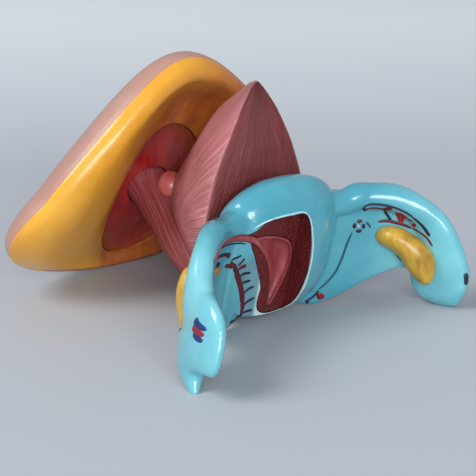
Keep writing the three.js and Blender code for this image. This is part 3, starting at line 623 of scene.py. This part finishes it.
def paint(name, rgb, dark):
    f = Finish(name)
    f.bump((f.noise(400), 0.00008), soft=0.0001)
    return f.set(tint=f.mix(f.noise(240), rgb, dark), rough=0.5)


# Plate forms


def filled(rows):
    """Rows of a shell, with no dish where none is given."""
    return np.array([[*row, 0.0, 0.0][:4] for row in rows], float)


def profile(rows, steps):
    """Rows of a shell made smooth."""
    weight = [SHARE_WEIGHT, 1, 1, 1]
    return smooth(filled(rows) * weight, steps) / weight


def plate_edge(c, s):
    """Outline of the plate in its own plane, from the cosine and sine of the way round."""
    low = np.maximum(0, -s)
    wide = HALF_WIDTH * (1 - NARROWING * s + FULLNESS * low * low)
    pull = np.where(low > 0, CORNER_PULL, 1.0)
    return wide * np.sign(c) * np.abs(c) ** pull, HALF_HEIGHT * (s + BOTTOM_RISE * low * (1 - low))


def plate_uv(c, s, share):
    """Places across and up the plate, from the middle of the hollow over its edge to the plate's outline."""
    inner = np.minimum(1, share / HOLLOW_EDGE)
    outer = np.maximum(0, (share - HOLLOW_EDGE) / (1 - HOLLOW_EDGE))
    edge_u, edge_v = plate_edge(c, s)
    u = (HOLLOW_SHIFT * (1 + s) + HOLLOW[0] * c * inner) * (1 - outer) + edge_u * outer
    v = (HOLLOW_CENTRE + HOLLOW[1] * s * inner) * (1 - outer) + edge_v * outer
    return u, v


def plate_ring(c, s, row, relief):
    """Ring of a shell from its row, over the saddle of the plate, with the relief of the lips."""
    share, height, top_dish, bottom_dish = row
    share = max(share, INMOST)
    u, v = plate_uv(c, s, share)
    saddle = (SIDE_DRAW * c * c - SIDE_TWIST * c * c * s) * share * share
    aside, beyond = (np.abs(u) - LIP_SPREAD) / LIP[0], (v - LIP_CENTRE) / LIP[1]
    lip = relief * np.exp(-aside ** 2 - beyond ** 2)
    lift = saddle + height + np.where(s > 0, top_dish, bottom_dish) * s * s + lip
    across = u * math.cos(TURN) - v * math.sin(TURN)
    along = u * math.sin(TURN) + v * math.cos(TURN)
    return PLATE_CENTRE + across[:, None] * ACROSS + along[:, None] * PLATE_UP + lift[:, None] * PLATE_OUT


def plate_rings(rows, count, relief=0.0):
    angle = 2 * np.pi * np.arange(count) / count
    return [plate_ring(np.cos(angle), np.sin(angle), row, relief) for row in rows]


def on_axis(up, height):
    return PLATE_CENTRE + up * PLATE_UP + height * PLATE_OUT


def post(up, low, high, a, b, count=48):
    """Straight post on the plate, so far up it, between two heights."""
    return rod(on_axis(up, low), on_axis(up, high), ACROSS, a, b, count)


def vagina_end():
    """How far up the plate the vagina's lower end meets it."""
    offset = np.array([0, VAGINA[-1][0], VAGINA[-1][1]]) - PLATE_CENTRE
    return float(offset @ PLATE_UP)


def vulva_skin():
    outside = plate_rings(profile(SKIN_OUTSIDE, 56), 168, LIP_RELIEF)
    shell = skinned(outside + plate_rings(profile(SKIN_INSIDE, 20), 168))
    return above_table(cut(shell, post(LIP_CENTRE, 8, 40, *SLOT, 96)))


def vulva_fat():
    """Fills the skin from its rim to the edge of the hollow."""
    back = [[share - FAT_INSET, height - GAP] for share, height in SKIN_INSIDE if share > HOLLOW_EDGE]
    back = filled([*FAT_RIM, *back[1:], [HOLLOW_EDGE, back[-1][1] + FAT_END]])
    rings = plate_rings(np.vstack([profile(FAT_INSIDE, 44), back]), 168)
    return above_table(skinned(rings, wrap=True))


def pelvic_floor():
    """Bowl in the hollow, with the socket for the vagina's end."""
    edge = HOLLOW_EDGE - GAP / HOLLOW[0] * HOLLOW_EDGE
    inside = profile(FLOOR_INSIDE, 36)
    inside[:, 0] *= edge / FLOOR_INSIDE[-1][0]
    back = filled([[edge, FLOOR_EDGE], *FLOOR_BACK])
    bowl = skinned(plate_rings(np.vstack([inside, back]), 120))
    half = VAGINA[-1][2] + SEAT, VAGINA[-1][3] + SEAT
    socket = post(vagina_end(), -20, SOCKET_TOP + SEAT, *half, 64)
    return cut(bowl, socket, post(vagina_end(), -10, 30, *ORIFICE))


def blunt(t):
    """Width along a rounded form that ends bluntly, at places from -1 to 1."""
    return math.sqrt(max(BLUNT, 1 - t * t))


def small_fold(x):
    """Blade along the plate, with its ends curled towards the middle and a slight wave."""
    rings = []
    for t in np.linspace(-1, 1, 25):
        aside = x - math.copysign(t * t * FOLD_CURL, x) + FOLD_WAVE * math.sin(9 * t + x)
        spot = on_axis(LIP_CENTRE + FOLD_RISE, PLUG_BASE + FOLD_SEAT)
        spot = spot + PLATE_UP * t * FOLD_REACH + ACROSS * aside
        a, b = (half * blunt(t) for half in FOLD)
        rings.append(ring(spot, ACROSS, PLATE_OUT, a, b, 24))
    return skinned(rings)


def hood():
    """Cover over the upper ends of the folds."""
    rings = []
    for t in np.linspace(-1, 1, 13):
        spot = on_axis(LIP_CENTRE + HOOD_RISE + HOOD_REACH * t, PLUG_BASE + PLUG_THICK)
        rings.append(ring(spot, ACROSS, PLATE_OUT, *(half * blunt(t) for half in HOOD), 24))
    return skinned(rings)


def vestibule():
    plug = post(LIP_CENTRE, PLUG_BASE, PLUG_BASE + PLUG_THICK, SLOT[0] - SEAT, SLOT[1] - SEAT, 96)
    plug = add(plug, *[small_fold(x) for x in FOLD_PLACES], hood())
    pore = post(vagina_end() + PORE_RISE, PLUG_BASE + PORE_FLOOR, PLUG_BASE + 8, *PORE, 20)
    return cut(plug, post(vagina_end(), -10, 40, *ORIFICE), pore)


# Vagina, bladder and uterus forms


def vagina_rings(columns, grow, count, over=0.0):
    """Rings down the wall or the passage, grown by a distance and carried past both ends by another."""
    a, b = columns
    rows = smooth([[r[0], r[1], r[a], r[b]] for r in VAGINA], 40)
    rings = []
    for i, row in enumerate(rows):
        before, after = rows[max(0, i - 1)], rows[min(len(rows) - 1, i + 1)]
        course = BACK_TO_FRONT if i == 0 else unit([0, after[0] - before[0], after[1] - before[1]])
        top = np.cross(ACROSS, course)
        rings.append(ring([0, row[0], row[1]], ACROSS, top, row[2] + grow, row[3] + grow, count))
    half = VAGINA[-1][a] + grow, VAGINA[-1][b] + grow
    for height in (STRAIGHT_FROM, SOCKET_TOP + over):
        rings.append(ring(on_axis(vagina_end(), height), ACROSS, PLATE_UP, *half, count))
    if over > 0:
        rings.insert(0, rings[0] - BACK_TO_FRONT * over)
    return rings


def vagina_wall():
    wall = skinned(vagina_rings(WALL, 0, 96))
    return cut(wall, skinned(vagina_rings(PASSAGE, 0, 72, 2)), *[peg_hole(y) for y in PEG_PLACES])


def vagina_lining():
    """Lines the passage below the cervix."""
    lining = skinned(vagina_rings(PASSAGE, -GAP, 72))
    inside = skinned(vagina_rings(PASSAGE, -GAP - LINING_WALL, 72, 2))
    return cut(lining, inside, block([-30, 40, -10], [30, CERVIX_Y[1] + GAP, 40]))


def peg_hole(y):
    rows = smooth(VAGINA, 60)
    near = min(rows, key=lambda r: abs(r[0] - y))
    top = np.array([0, near[0], near[1] + near[3] / LIFT[2]])
    seat = top - LIFT * (PEG_DEPTH + PEG_GAP)
    end = seat + LIFT * (PEG_LENGTH + 2 * PEG_GAP)
    return rod(seat, end, ACROSS, PEG_RADIUS + PEG_GAP, PEG_RADIUS + PEG_GAP, 32)


def bladder_ring(height, front, back, half, count):
    """Rounded triangle with one corner in front, its sides swelled and the bladder's left side bulged."""
    corners = [(0, front), (half, back), (-half, back)]
    middle = (front + 2 * back) / 3
    points = []
    for i in range(count):
        t = 3 * i / count
        k = int(t)
        part = t - k
        start, end = corners[k], corners[(k + 1) % 3]
        swell = 1 + 0.5 * math.sin(math.pi * part) * (SWELL_BACK if k == 1 else SWELL_SIDE)
        x = start[0] + (end[0] - start[0]) * part
        y = start[1] + (end[1] - start[1]) * part - middle
        points.append([x * swell, middle + y * swell])
    points = np.array(points)
    for _ in range(3):
        points = (np.roll(points, 1, 0) + 2 * points + np.roll(points, -1, 0)) / 4
    bulge = 1 + BULGE * math.exp(-((height - BULGE_HEIGHT) / BULGE_REACH) ** 2)
    points[:, 0] *= np.where(points[:, 0] < 0, bulge, 1)
    return BLADDER_BASE + points[:, :1] * ACROSS + points[:, 1:] * ALONG + height * LIFT


def bladder():
    """The bladder, with room for the vagina, the neck, the pegs and the uterus it is lifted past."""
    body = skinned([bladder_ring(*row, 120) for row in smooth(BLADDER, 64)])
    widest = max(UTERUS, key=lambda r: r[2])
    top = np.array([0, widest[1], widest[0]])
    room = rod(top - LIFT * LIFT_ROOM, top, ACROSS, widest[2] + BLADDER_CLEAR, widest[3] + BLADDER_CLEAR, 64)
    vagina = skinned(vagina_rings(WALL, GAP, 64))
    body = cut(body, vagina, room, uterus_form(BLADDER_CLEAR), neck_form(GAP))
    return cut(body, *[peg_hole(y) for y in PEG_PLACES])


def neck_form(grow):
    start, end = np.array(NECK, float)
    rings = []
    for t in np.linspace(0, 1, 17):
        width = NECK_RADIUS * math.sqrt(1 - NECK_ROUNDING * (2 * t - 1) ** 2) + grow
        spot = start + (end - start) * (t * (1 + grow / NECK_HALF) - grow / NECK_HALF / 2)
        rings.append(ring(spot, ACROSS, LIFT, width, width, 48))
    return skinned(rings)


def bladder_neck():
    return cut(neck_form(0), skinned(vagina_rings(WALL, GAP, 64)))


def uterus_form(grow, ledge=0.0, foot=0.0):
    """The uterus grown by a distance, its left drawn in by the ledge and its lower edge grown by foot."""
    low, high = UTERUS[0][0], UTERUS[-1][0]
    widest = max(UTERUS, key=lambda r: r[2])
    rings = []
    for z, y, a, b, shift in smooth(UTERUS, 60):
        near_foot = max(0.0, 1 - z / FOOT_TOP)
        more = grow + foot * near_foot
        shift -= min(shift, foot * 2 * near_foot)
        height = z + more * (2 * z - low - high) / (high - low)
        half = a * (1 + more / widest[2])
        points = ring([0, y, height], ACROSS, BACK_TO_FRONT, half, b * (1 + more / widest[3]), 96)
        points[:, 0] *= np.where(points[:, 0] < 0, 1 - 2 * ledge * shift / half, 1)
        rings.append(points)
    return skinned(rings)


def section_lean(z):
    """How far the section lies from its line at another height."""
    return (SECTION_Z - z) * SECTION_LEAN


def window_room():
    """All that the window takes out: what lies on the low side of the section in Y, within the outline."""
    (left, _), (right, _) = SECTION_LINE[0], SECTION_LINE[-1]
    line = [[left, ROOM_Y[0]], *SECTION_LINE, [right, ROOM_Y[0]]]
    layers = [np.array([[x, y + section_lean(z), z] for x, y in line]) for z in (0, ROOM_TOP)]
    front = [np.array([[x, y, z] for x, z in WINDOW]) for y in ROOM_Y]
    return joined(skinned(layers), [skinned(front)], "INTERSECT")


def cavity_form(grow):
    low, high = CAVITY[0][0], CAVITY[-1][0]
    rings = []
    for z, x, a, b in smooth(CAVITY, 32):
        height = z + grow * (2 * z - low - high) / (high - low)
        spot = [x, SECTION_LINE[0][1] + section_lean(height) + CAVITY_SET_BACK, height]
        rings.append(ring(spot, ACROSS, BACK_TO_FRONT, a + grow, b + grow, 64))
    return skinned(rings)


def cervix_form(grow):
    a, b = VAGINA[0][4] - SEAT, VAGINA[0][5] - SEAT
    rings = []
    for t, width in smooth(CERVIX_WIDTH, 24):
        y = CERVIX_Y[0] - grow + (CERVIX_Y[1] - CERVIX_Y[0] + 2 * grow) * t
        rings.append(ring([0, y, VAGINA[0][1]], ACROSS, UP, a * width + grow, b * width + grow, 48))
    return skinned(rings)


def rings_along(rows, sizes, count, shift=0.0, power=2):
    """Rings down a course, broad from back to front, or leaning from that by the sixth number of a row."""
    rings = []
    for i, row in enumerate(rows):
        before, after = rows[max(0, i - 1)][:3], rows[min(len(rows) - 1, i + 1)][:3]
        along = unit(after - before)
        lean = np.array([-np.sign(row[0]) * row[5] if len(row) > 5 else 0, 1, 0])
        broad = unit(lean - along * (lean @ along))
        thin = np.cross(along, broad)
        rings.append(ring(row[:3] + broad * shift, broad, thin, *sizes(row), count, power))
    return rings


def tube_form(side, grow=0.0):
    rows = smooth(TUBE_LEFT if side < 0 else TUBE_RIGHT, 90)
    return skinned(rings_along(rows, lambda r: (r[3] + grow, r[4] + grow), 48))


def ligament_form(side):
    rings = []
    for row in smooth([[side * r[0], *r[1:]] for r in LIGAMENT], 36):
        top, low = row[:3], np.array([side * row[3], row[4], row[5]])
        rise = unit(top - low)
        face = unit(np.cross(rise, ACROSS))
        rings.append(ring((top + low) / 2, rise, face, np.linalg.norm(top - low) / 2, LIGAMENT_HALF, 64, 4))
    return skinned(rings)


def lumen(grow, reach, shift=0.0, power=2, start=0):
    """The left tube's passage grown by a distance, with half its reach from back to front."""
    rows = smooth(LUMEN[start:], 80)
    return skinned(rings_along(rows, lambda r: (reach, r[3] + grow), 28, shift, power))


def groove():
    """The passage carried on out through the tube's skin."""
    return lumen(GAP, GROOVE_REACH + LUMEN_SKIN + GAP, -GROOVE_REACH, GROOVE_POWER, GROOVE_START)


def ovary(side):
    rows = smooth(OVARIES[side], OVARY_STEPS)
    rings = []
    for i in range(1, OVARY_RINGS):
        reach = (1 - math.cos(math.pi * i / OVARY_RINGS)) / 2
        place = round(OVARY_STEPS * reach)
        row, before, after = (rows[min(OVARY_STEPS, max(0, place + k))] for k in (0, -6, 6))
        along = unit(after[:3] - before[:3])
        broad = unit(np.cross(OVARY_FACE, along))
        width = math.sqrt(1 - abs(2 * reach - 1) ** OVARY_POWER)
        rings.append(ring(row[:3], broad, np.cross(along, broad), row[3] * width, row[4] * width, 56))
    return skinned(rings)


def turquoise_skin():
    """Cover of the uterus with both tubes and sheets, run into each other as one moulding."""
    body = add(uterus_form(0), ligament_form(-1), ligament_form(1), tube_form(-1), tube_form(1))
    step = body.modifiers.new("even", "REMESH")
    step.mode = "VOXEL"
    step.voxel_size = COVER_GRAIN * MM
    step.adaptivity = 0.0
    ease = body.modifiers.new("ease", "SMOOTH")
    ease.factor = 0.5
    ease.iterations = COVER_EASE
    applied(body)
    room = cut(window_room(), tube_form(-1, -GAP))
    edge = surface_of(room)
    body = cut(body, room, uterus_form(-SHOWN_WALL, 1, FOOT), cavity_form(GAP), cervix_form(GAP), groove())
    return above_table(body), edge


def uterus_muscle():
    """Fills the cover round the cavity, and shows in the window."""
    body = uterus_form(-SHOWN_WALL - SHOWN_GAP, 1, FOOT)
    strip = lumen(GAP / 2, LUMEN_SKIN + GAP / 2)
    return cut(body, window_room(), cavity_form(GAP), cervix_form(GAP), groove(), strip)


def cavity_lining():
    return cut(cavity_form(0), cavity_form(-CAVITY_WALL), window_room(), cervix_form(GAP))


def cervix():
    mouth = np.array([0, CERVIX_Y[1], VAGINA[0][1]])
    canal = rod(mouth - BACK_TO_FRONT * CANAL_DEPTH, mouth + BACK_TO_FRONT * 5, ACROSS, *CANAL, 32)
    return cut(cervix_form(0), canal)


def tube_passage():
    return cut(lumen(0, LUMEN_SKIN), cavity_form(HAIR))


def in_window(spot):
    """Tells the part of the window's cut that is next to the muscle from the rest."""
    x, _, z = spot
    return x > CUT_END or x > LOW_CUT_END and z < LOW_CUT_TOP


def on_cut(obj, tree, slot, keep):
    """Gives faces on a cutting surface another finish, where the face's middle passes a test."""
    for face in obj.data.polygons:
        if tree.find_nearest(face.center)[3] < ON_CUT and keep(np.array(face.center) / MM - SHIFT):
            face.material_index = slot


# Painted vessels, with painted shade in creases in teal and a painted highlight on the window's edge in rim:
# the colour, then strokes with their width in millimetres, or the first and last width, and the places that
# they run through, across and down in turn, in pixels of the photograph
VESSELS = {
    "navy": [
        (1, [362, 208.5, 367.3, 205, 374, 204.2, 384, 205, 393, 207, 401, 210, 408, 213.7, 414, 218]),
        ((1, 1.6), [412, 216.8, 419, 222.5, 425, 229, 429.6, 236.3]),
        (2.9, [363, 210.2, 366.4, 209.2]),
        (1.1, [384.5, 210.5, 387.5, 215.5, 391, 220.3]),
        (1.2, [319, 290.5, 312, 297.3, 305, 301.5]),
        (1.2, [306.8, 300.4, 307.6, 303.4]),
        (1.9, [465.4, 273, 466.3, 279, 466, 285]),
        (1.4, [363.2, 223.6, 363.8, 226.4, 363, 228.8])],
    "dark_red": [
        (1, [364, 209.9, 370, 208.2, 378.6, 208.2, 384, 209.5]),
        (2.2, [382, 209.8, 387, 208.9, 392.4, 207.8]),
        (1.1, [407, 218.4, 412.2, 221.5]),
        (1.3, [378, 221.6, 387, 220.8, 395, 222.4, 404, 224.8, 412, 228.4]),
        (1, [412, 228.4, 420, 232.4, 427, 238, 432.5, 246.4]),
        (1.1, [316.5, 291, 317.8, 295.5, 319, 299.5]),
        (1.4, [356.8, 221.8, 359.8, 220.9, 362, 222]),
        (2.2, [227.2, 255, 230, 256.2]),
        (1.6, [224.8, 266, 229, 266.2, 233, 267]),
        ((1.2, 2.2), [230.6, 262.2, 233.2, 265, 236, 268.5]),
        (2.4, [235.2, 267, 237, 274.6, 239.4, 282.7, 241.2, 289.8, 242.1, 297.9, 242.4, 303]),
        ((2.3, 1.6), [242.3, 301.6, 242.6, 307.5, 241, 312.8]),
        (1.6, [238.4, 269, 242, 267, 246.4, 265.6])],
    "red": [
        (1.7, [396.5, 212.3, 399, 217.5, 402.5, 223.6]),
        (2.2, [397.7, 212.9, 402, 215.2, 407, 218.4]),
        (1.8, [415, 223.4, 412.6, 226.6]),
        (1.1, [404, 214.5, 402.5, 220, 401.5, 225]),
        (2.4, [318, 294.5, 321, 296.3, 323.5, 298]),
        ((3.6, 1.4), [193.2, 325.6, 195.2, 330, 199.4, 333.4, 204.2, 335.2])],
    # teal: painted shade in the crease between the uterus and the right ligament, in a faint crease beside
    # it, and under the right ovary.
    "teal_crease_shade": [
        (1, [352, 232, 347.1, 243.6, 341.5, 259.3, 334.8, 272.8, 325.8, 282.9, 318.5, 289.6]),
        (0.8, [366.3, 221.7, 368.5, 224.5, 370.7, 227.9]),
        (1, [396.5, 253.7, 399, 257, 401.6, 260.8])],
    "pink": [
        (1.5, [357.6, 226.6, 359.2, 225.4])],
    "plum": [
        (1.5, [354.6, 228.6, 354.2, 225.6, 355.3, 223]),
        (1.5, [356, 230.6, 359, 231.4, 361.6, 230.2]),
        ((1, 1.6), [213.5, 262.6, 217, 258.4, 221.5, 255.6, 226, 254.8, 229.4, 254.8]),
        (0.9, [230.7, 262.6, 232.5, 259.5, 237.9, 257.4, 241.5, 255.2]),
        (1.4, [241.2, 312, 239, 316, 235, 319.6, 229.5, 323]),
        (1, [237.9, 265.7, 241.4, 262.1, 245, 258.6]),
        (1.1, [239.6, 276.4, 244.1, 273.6, 250.5, 272.9]),
        (1.1, [241, 284, 245.5, 281.8, 250.6, 280.6]),
        (1.1, [242.6, 294.6, 245.9, 290.7, 250, 288, 254, 286.6]),
        (1.1, [243.4, 305, 248, 301, 254.4, 297.6]),
        (1, [241.6, 313.4, 246.5, 311.2, 252.4, 309.9]),
        (1.1, [233, 269, 235.6, 271.5, 237, 273]),
        (2.2, [215.8, 265.6, 219.6, 265]),
        (0.6, [217.6, 256, 218.4, 251.5, 221.5, 248, 227, 245.2, 234, 243.6, 240, 243.2, 246, 244.4])],
    "orange": [
        (3, [215.6, 271.4, 220, 270.8])],
    "blue": [
        ((3.8, 1.3), [195.4, 319, 196.8, 323.2, 201.2, 327.2, 206.6, 329.8]),
        ((3.2, 1.3), [193.8, 332.2, 195.8, 336.4, 199, 339.6, 202.8, 341])],
    # rim: a painted highlight along the top and right edge of the window, where the cut lip catches the
    # light.
    "rim": [
        ((0.6, 0.8), [254, 229.3, 258, 226.4, 263, 223.4, 269, 220.8, 277, 218, 288, 215.2, 297, 213,
                      303, 212.2, 306.4, 213.2, 309, 216.4, 311, 221.8, 312.3, 230.4, 313, 243, 312.2, 256,
                      309.6, 269, 305.6, 281, 300, 292, 293, 301])],
}

STROKE_HEIGHT, STROKE_SIDES, STROKE_BLUNT = 0.28, 10, 0.12


def seen(tree, spot):
    """Place on a surface behind a pixel of the photograph."""
    away, right, rise = view_axes()
    across, down = spot - PHOTO_SIZE / 2
    line = right * across - rise * down - away * VIEW_REACH
    hit = tree.ray_cast(Vector(packed_place(VIEW_AIM + away * VIEW_DISTANCE)), Vector(line).normalized())[0]
    return np.array(hit) / MM - SHIFT


def ribbon(tree, spots, width):
    """Rings of a low raised stroke laid on a surface behind pixels of the photograph."""
    points = np.array([seen(tree, spot) for spot in np.reshape(spots, (-1, 2))])
    length = sum(np.linalg.norm(np.diff(points, axis=0), axis=1))
    first, last = width if isinstance(width, tuple) else (width, width)
    places = smooth(points, max(4, int(2 * length)))
    snapped = [tree.find_nearest(Vector(packed_place(place)))[:2] for place in places]
    middle = np.array([np.array(place) / MM - SHIFT for place, _ in snapped])
    for _ in range(2):
        middle[1:-1] = (middle[:-2] + 2 * middle[1:-1] + middle[2:]) / 4
    rings = []
    for i, place in enumerate(middle):
        normal = np.array(snapped[i][1])
        along = unit(middle[min(i + 1, len(middle) - 1)] - middle[max(i - 1, 0)])
        share = i / (len(middle) - 1)
        end = math.sqrt(max(STROKE_BLUNT, 1 - (2 * share - 1) ** 8))
        half = (first + (last - first) * share) / 2
        side = unit(np.cross(along, normal))
        rings.append(ring(place, side, normal, half * end, STROKE_HEIGHT * end, STROKE_SIDES))
    return rings


def painted(tree, strokes):
    """One piece of all the strokes of a colour."""
    points, faces = [], []
    for width, spots in strokes:
        rings = ribbon(tree, spots, width)
        start, count = len(points), len(rings[0])
        points += [p for r in rings for p in r] + [rings[0].mean(0), rings[-1].mean(0)]
        last = start + len(rings) * count
        for low in range(start, last - count, count):
            for c in range(count):
                n = (c + 1) % count
                faces.append((low + c, low + n, low + count + n, low + count + c))
        for c in range(count):
            n = (c + 1) % count
            faces.append((last, start + n, start + c))
            faces.append((last + 1, last - count + c, last - count + n))
    return mesh_object(points, faces)


# The model

ROSE = rose("cavity_rose")
OVARY_TINT = mustard("ovary_mustard", (176, 138, 40), (200, 166, 62))

piece(vulva_skin(), "vulva_skin", "vulva", ["vulva_skin_shell"], "skin_pink", skin())
piece(vulva_fat(), "vulva_fat", "vulva", ["vulva_fat_body"], "fat_mustard", fat())
piece(pelvic_floor(), "pelvic_floor_bowl", "vulva", ["pelvic_floor"], "deep_red", deep_red())
piece(vestibule(), "vestibule_folds", "vulva", ["vestibule"], "skin_rose", rose_skin())

piece(vagina_wall(), "vagina_outer", "vagina", ["vagina_wall"], "dusky_red", dusky_red())
piece(vagina_lining(), "vagina_inner", "vagina", ["vagina_lining"], "lining_rose", rose("lining_rose"))

piece(bladder(), "bladder_body", "bladder", ["bladder"], "bladder_pink", bladder_pink())
piece(bladder_neck(), "bladder_neck_knob", "bladder", ["bladder_neck"], "neck_pink", neck_pink())

cover, window_tree = turquoise_skin()
piece(cover, "uterus_and_tubes_skin", "uterus",
      ["uterus_cover", "fallopian_tube_left", "fallopian_tube_right", "broad_ligament_left",
       "broad_ligament_right"],
      "turquoise", turquoise(), cut_face())
on_cut(cover, window_tree, 1, in_window)
piece(uterus_muscle(), "uterus_wall", "uterus", ["uterus_muscle"], "muscle_maroon", maroon())
piece(cavity_lining(), "uterus_cavity", "uterus", ["uterus_cavity_lining"], "cavity_rose", ROSE)
piece(cervix(), "cervix_body", "uterus", ["cervix"], "cavity_rose", ROSE)
piece(tube_passage(), "tube_passage_left", "uterus", ["fallopian_tube_lining_left"], "cavity_rose", ROSE)
for side_name in ("left", "right"):
    piece(ovary(side_name), f"ovary_body_{side_name}", "uterus", [f"ovary_{side_name}"], "ovary_mustard",
          OVARY_TINT)

skin_tree = surface_of(cover)
PAINTS = {"navy": ((14, 20, 60), (26, 12, 34)), "blue": ((2, 50, 122), (4, 32, 86)),
          "red": ((150, 12, 34), (110, 10, 28)), "dark_red": ((100, 8, 22), (56, 6, 16)),
          # teal is painted shade in creases and under the right ovary.
          "plum": ((40, 12, 30), (20, 16, 36)), "teal_crease_shade": ((14, 80, 106), (22, 64, 88)),
          "pink": ((206, 172, 190), (186, 160, 180)), "orange": ((196, 120, 40), (150, 84, 30)),
          # rim is a painted highlight on the window's edge.
          "rim": ((176, 208, 216), (150, 196, 206))}
for label, tints in PAINTS.items():
    name = f"paint_{label}"
    piece(painted(skin_tree, VESSELS[label]), name, "uterus", [], "turquoise", paint(name, *tints))

peg_finish = metal()
for number in (1, 2):
    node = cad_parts[f"bladder_peg_{number}"]
    node.data.materials.clear()
    node.data.materials.append(peg_finish)


# Floor, light and camera

FLOOR = [[-3000, -2500, 0], [3000, -2500, 0], [3000, 4500, 0], [-3000, 4500, 0]]
FLOOR_AWAY = (0.656, 0.755, 0)
LIGHT_AIM = (0, 0, 0.03)


def floor():
    """Pale floor that grows lighter away from the viewer, as painted light of the lamps falling off over it.
    """
    obj = mesh_object(FLOOR, [(0, 1, 2, 3)])
    obj.name = "floor"
    f = Finish("pale_floor")
    uneven = f.maths("MULTIPLY", f.noise(3, 2), 0.06)
    # Lighter away from the viewer: painted light.
    light_falloff = f.fade(f.maths("ADD", f.vector("DOT_PRODUCT", f.place, FLOOR_AWAY), uneven), -0.25, 0.95)
    tint = f.ramp(light_falloff, (0.0, (172, 178, 186)), (0.35, (176, 181, 188)), (0.7, (206, 212, 218)),
                  (1.0, (232, 236, 240)))
    f.bump((f.noise(900, 2), 0.00002), soft=0.0)
    obj.data.materials.append(f.set(tint=tint, rough=0.55, gloss=0.25))


def aimed(name, data, place, direction):
    obj = bpy.data.objects.new(name, data)
    obj.location = place
    obj.rotation_euler = Vector(direction).to_track_quat("-Z", "Y").to_euler()
    bpy.context.scene.collection.objects.link(obj)
    return obj


def area_light(name, place, size, power, tint):
    data = bpy.data.lights.new(name, "AREA")
    data.shape = "RECTANGLE"
    data.size, data.size_y = size
    data.energy = power
    data.color = tint
    aimed(name, data, place, Vector(LIGHT_AIM) - Vector(place))


def sky(strength):
    world = bpy.data.worlds.new("studio")
    world.use_nodes = True
    back = world.node_tree.nodes["Background"]
    back.inputs["Color"].default_value = colour((214, 222, 232))
    back.inputs["Strength"].default_value = strength
    bpy.context.scene.world = world


def camera():
    away = view_axes()[0]
    data = bpy.data.cameras.new("camera")
    data.sensor_width = 36
    data.lens = data.sensor_width * VIEW_REACH / PHOTO_SIZE
    data.clip_start = 0.01
    bpy.context.scene.camera = aimed("camera", data, packed_place(VIEW_AIM + away * VIEW_DISTANCE), -away)


floor()
area_light("key", (-1.7, 0.5, 1.8), (1.3, 1.3), 46, (1, 0.98, 0.95))
area_light("fill", (-1.1, -1.95, 0.7), (1.6, 1.1), 50, (1, 0.98, 0.96))
sky(0.58)
camera()
bpy.context.scene.view_settings.view_transform = "Standard"
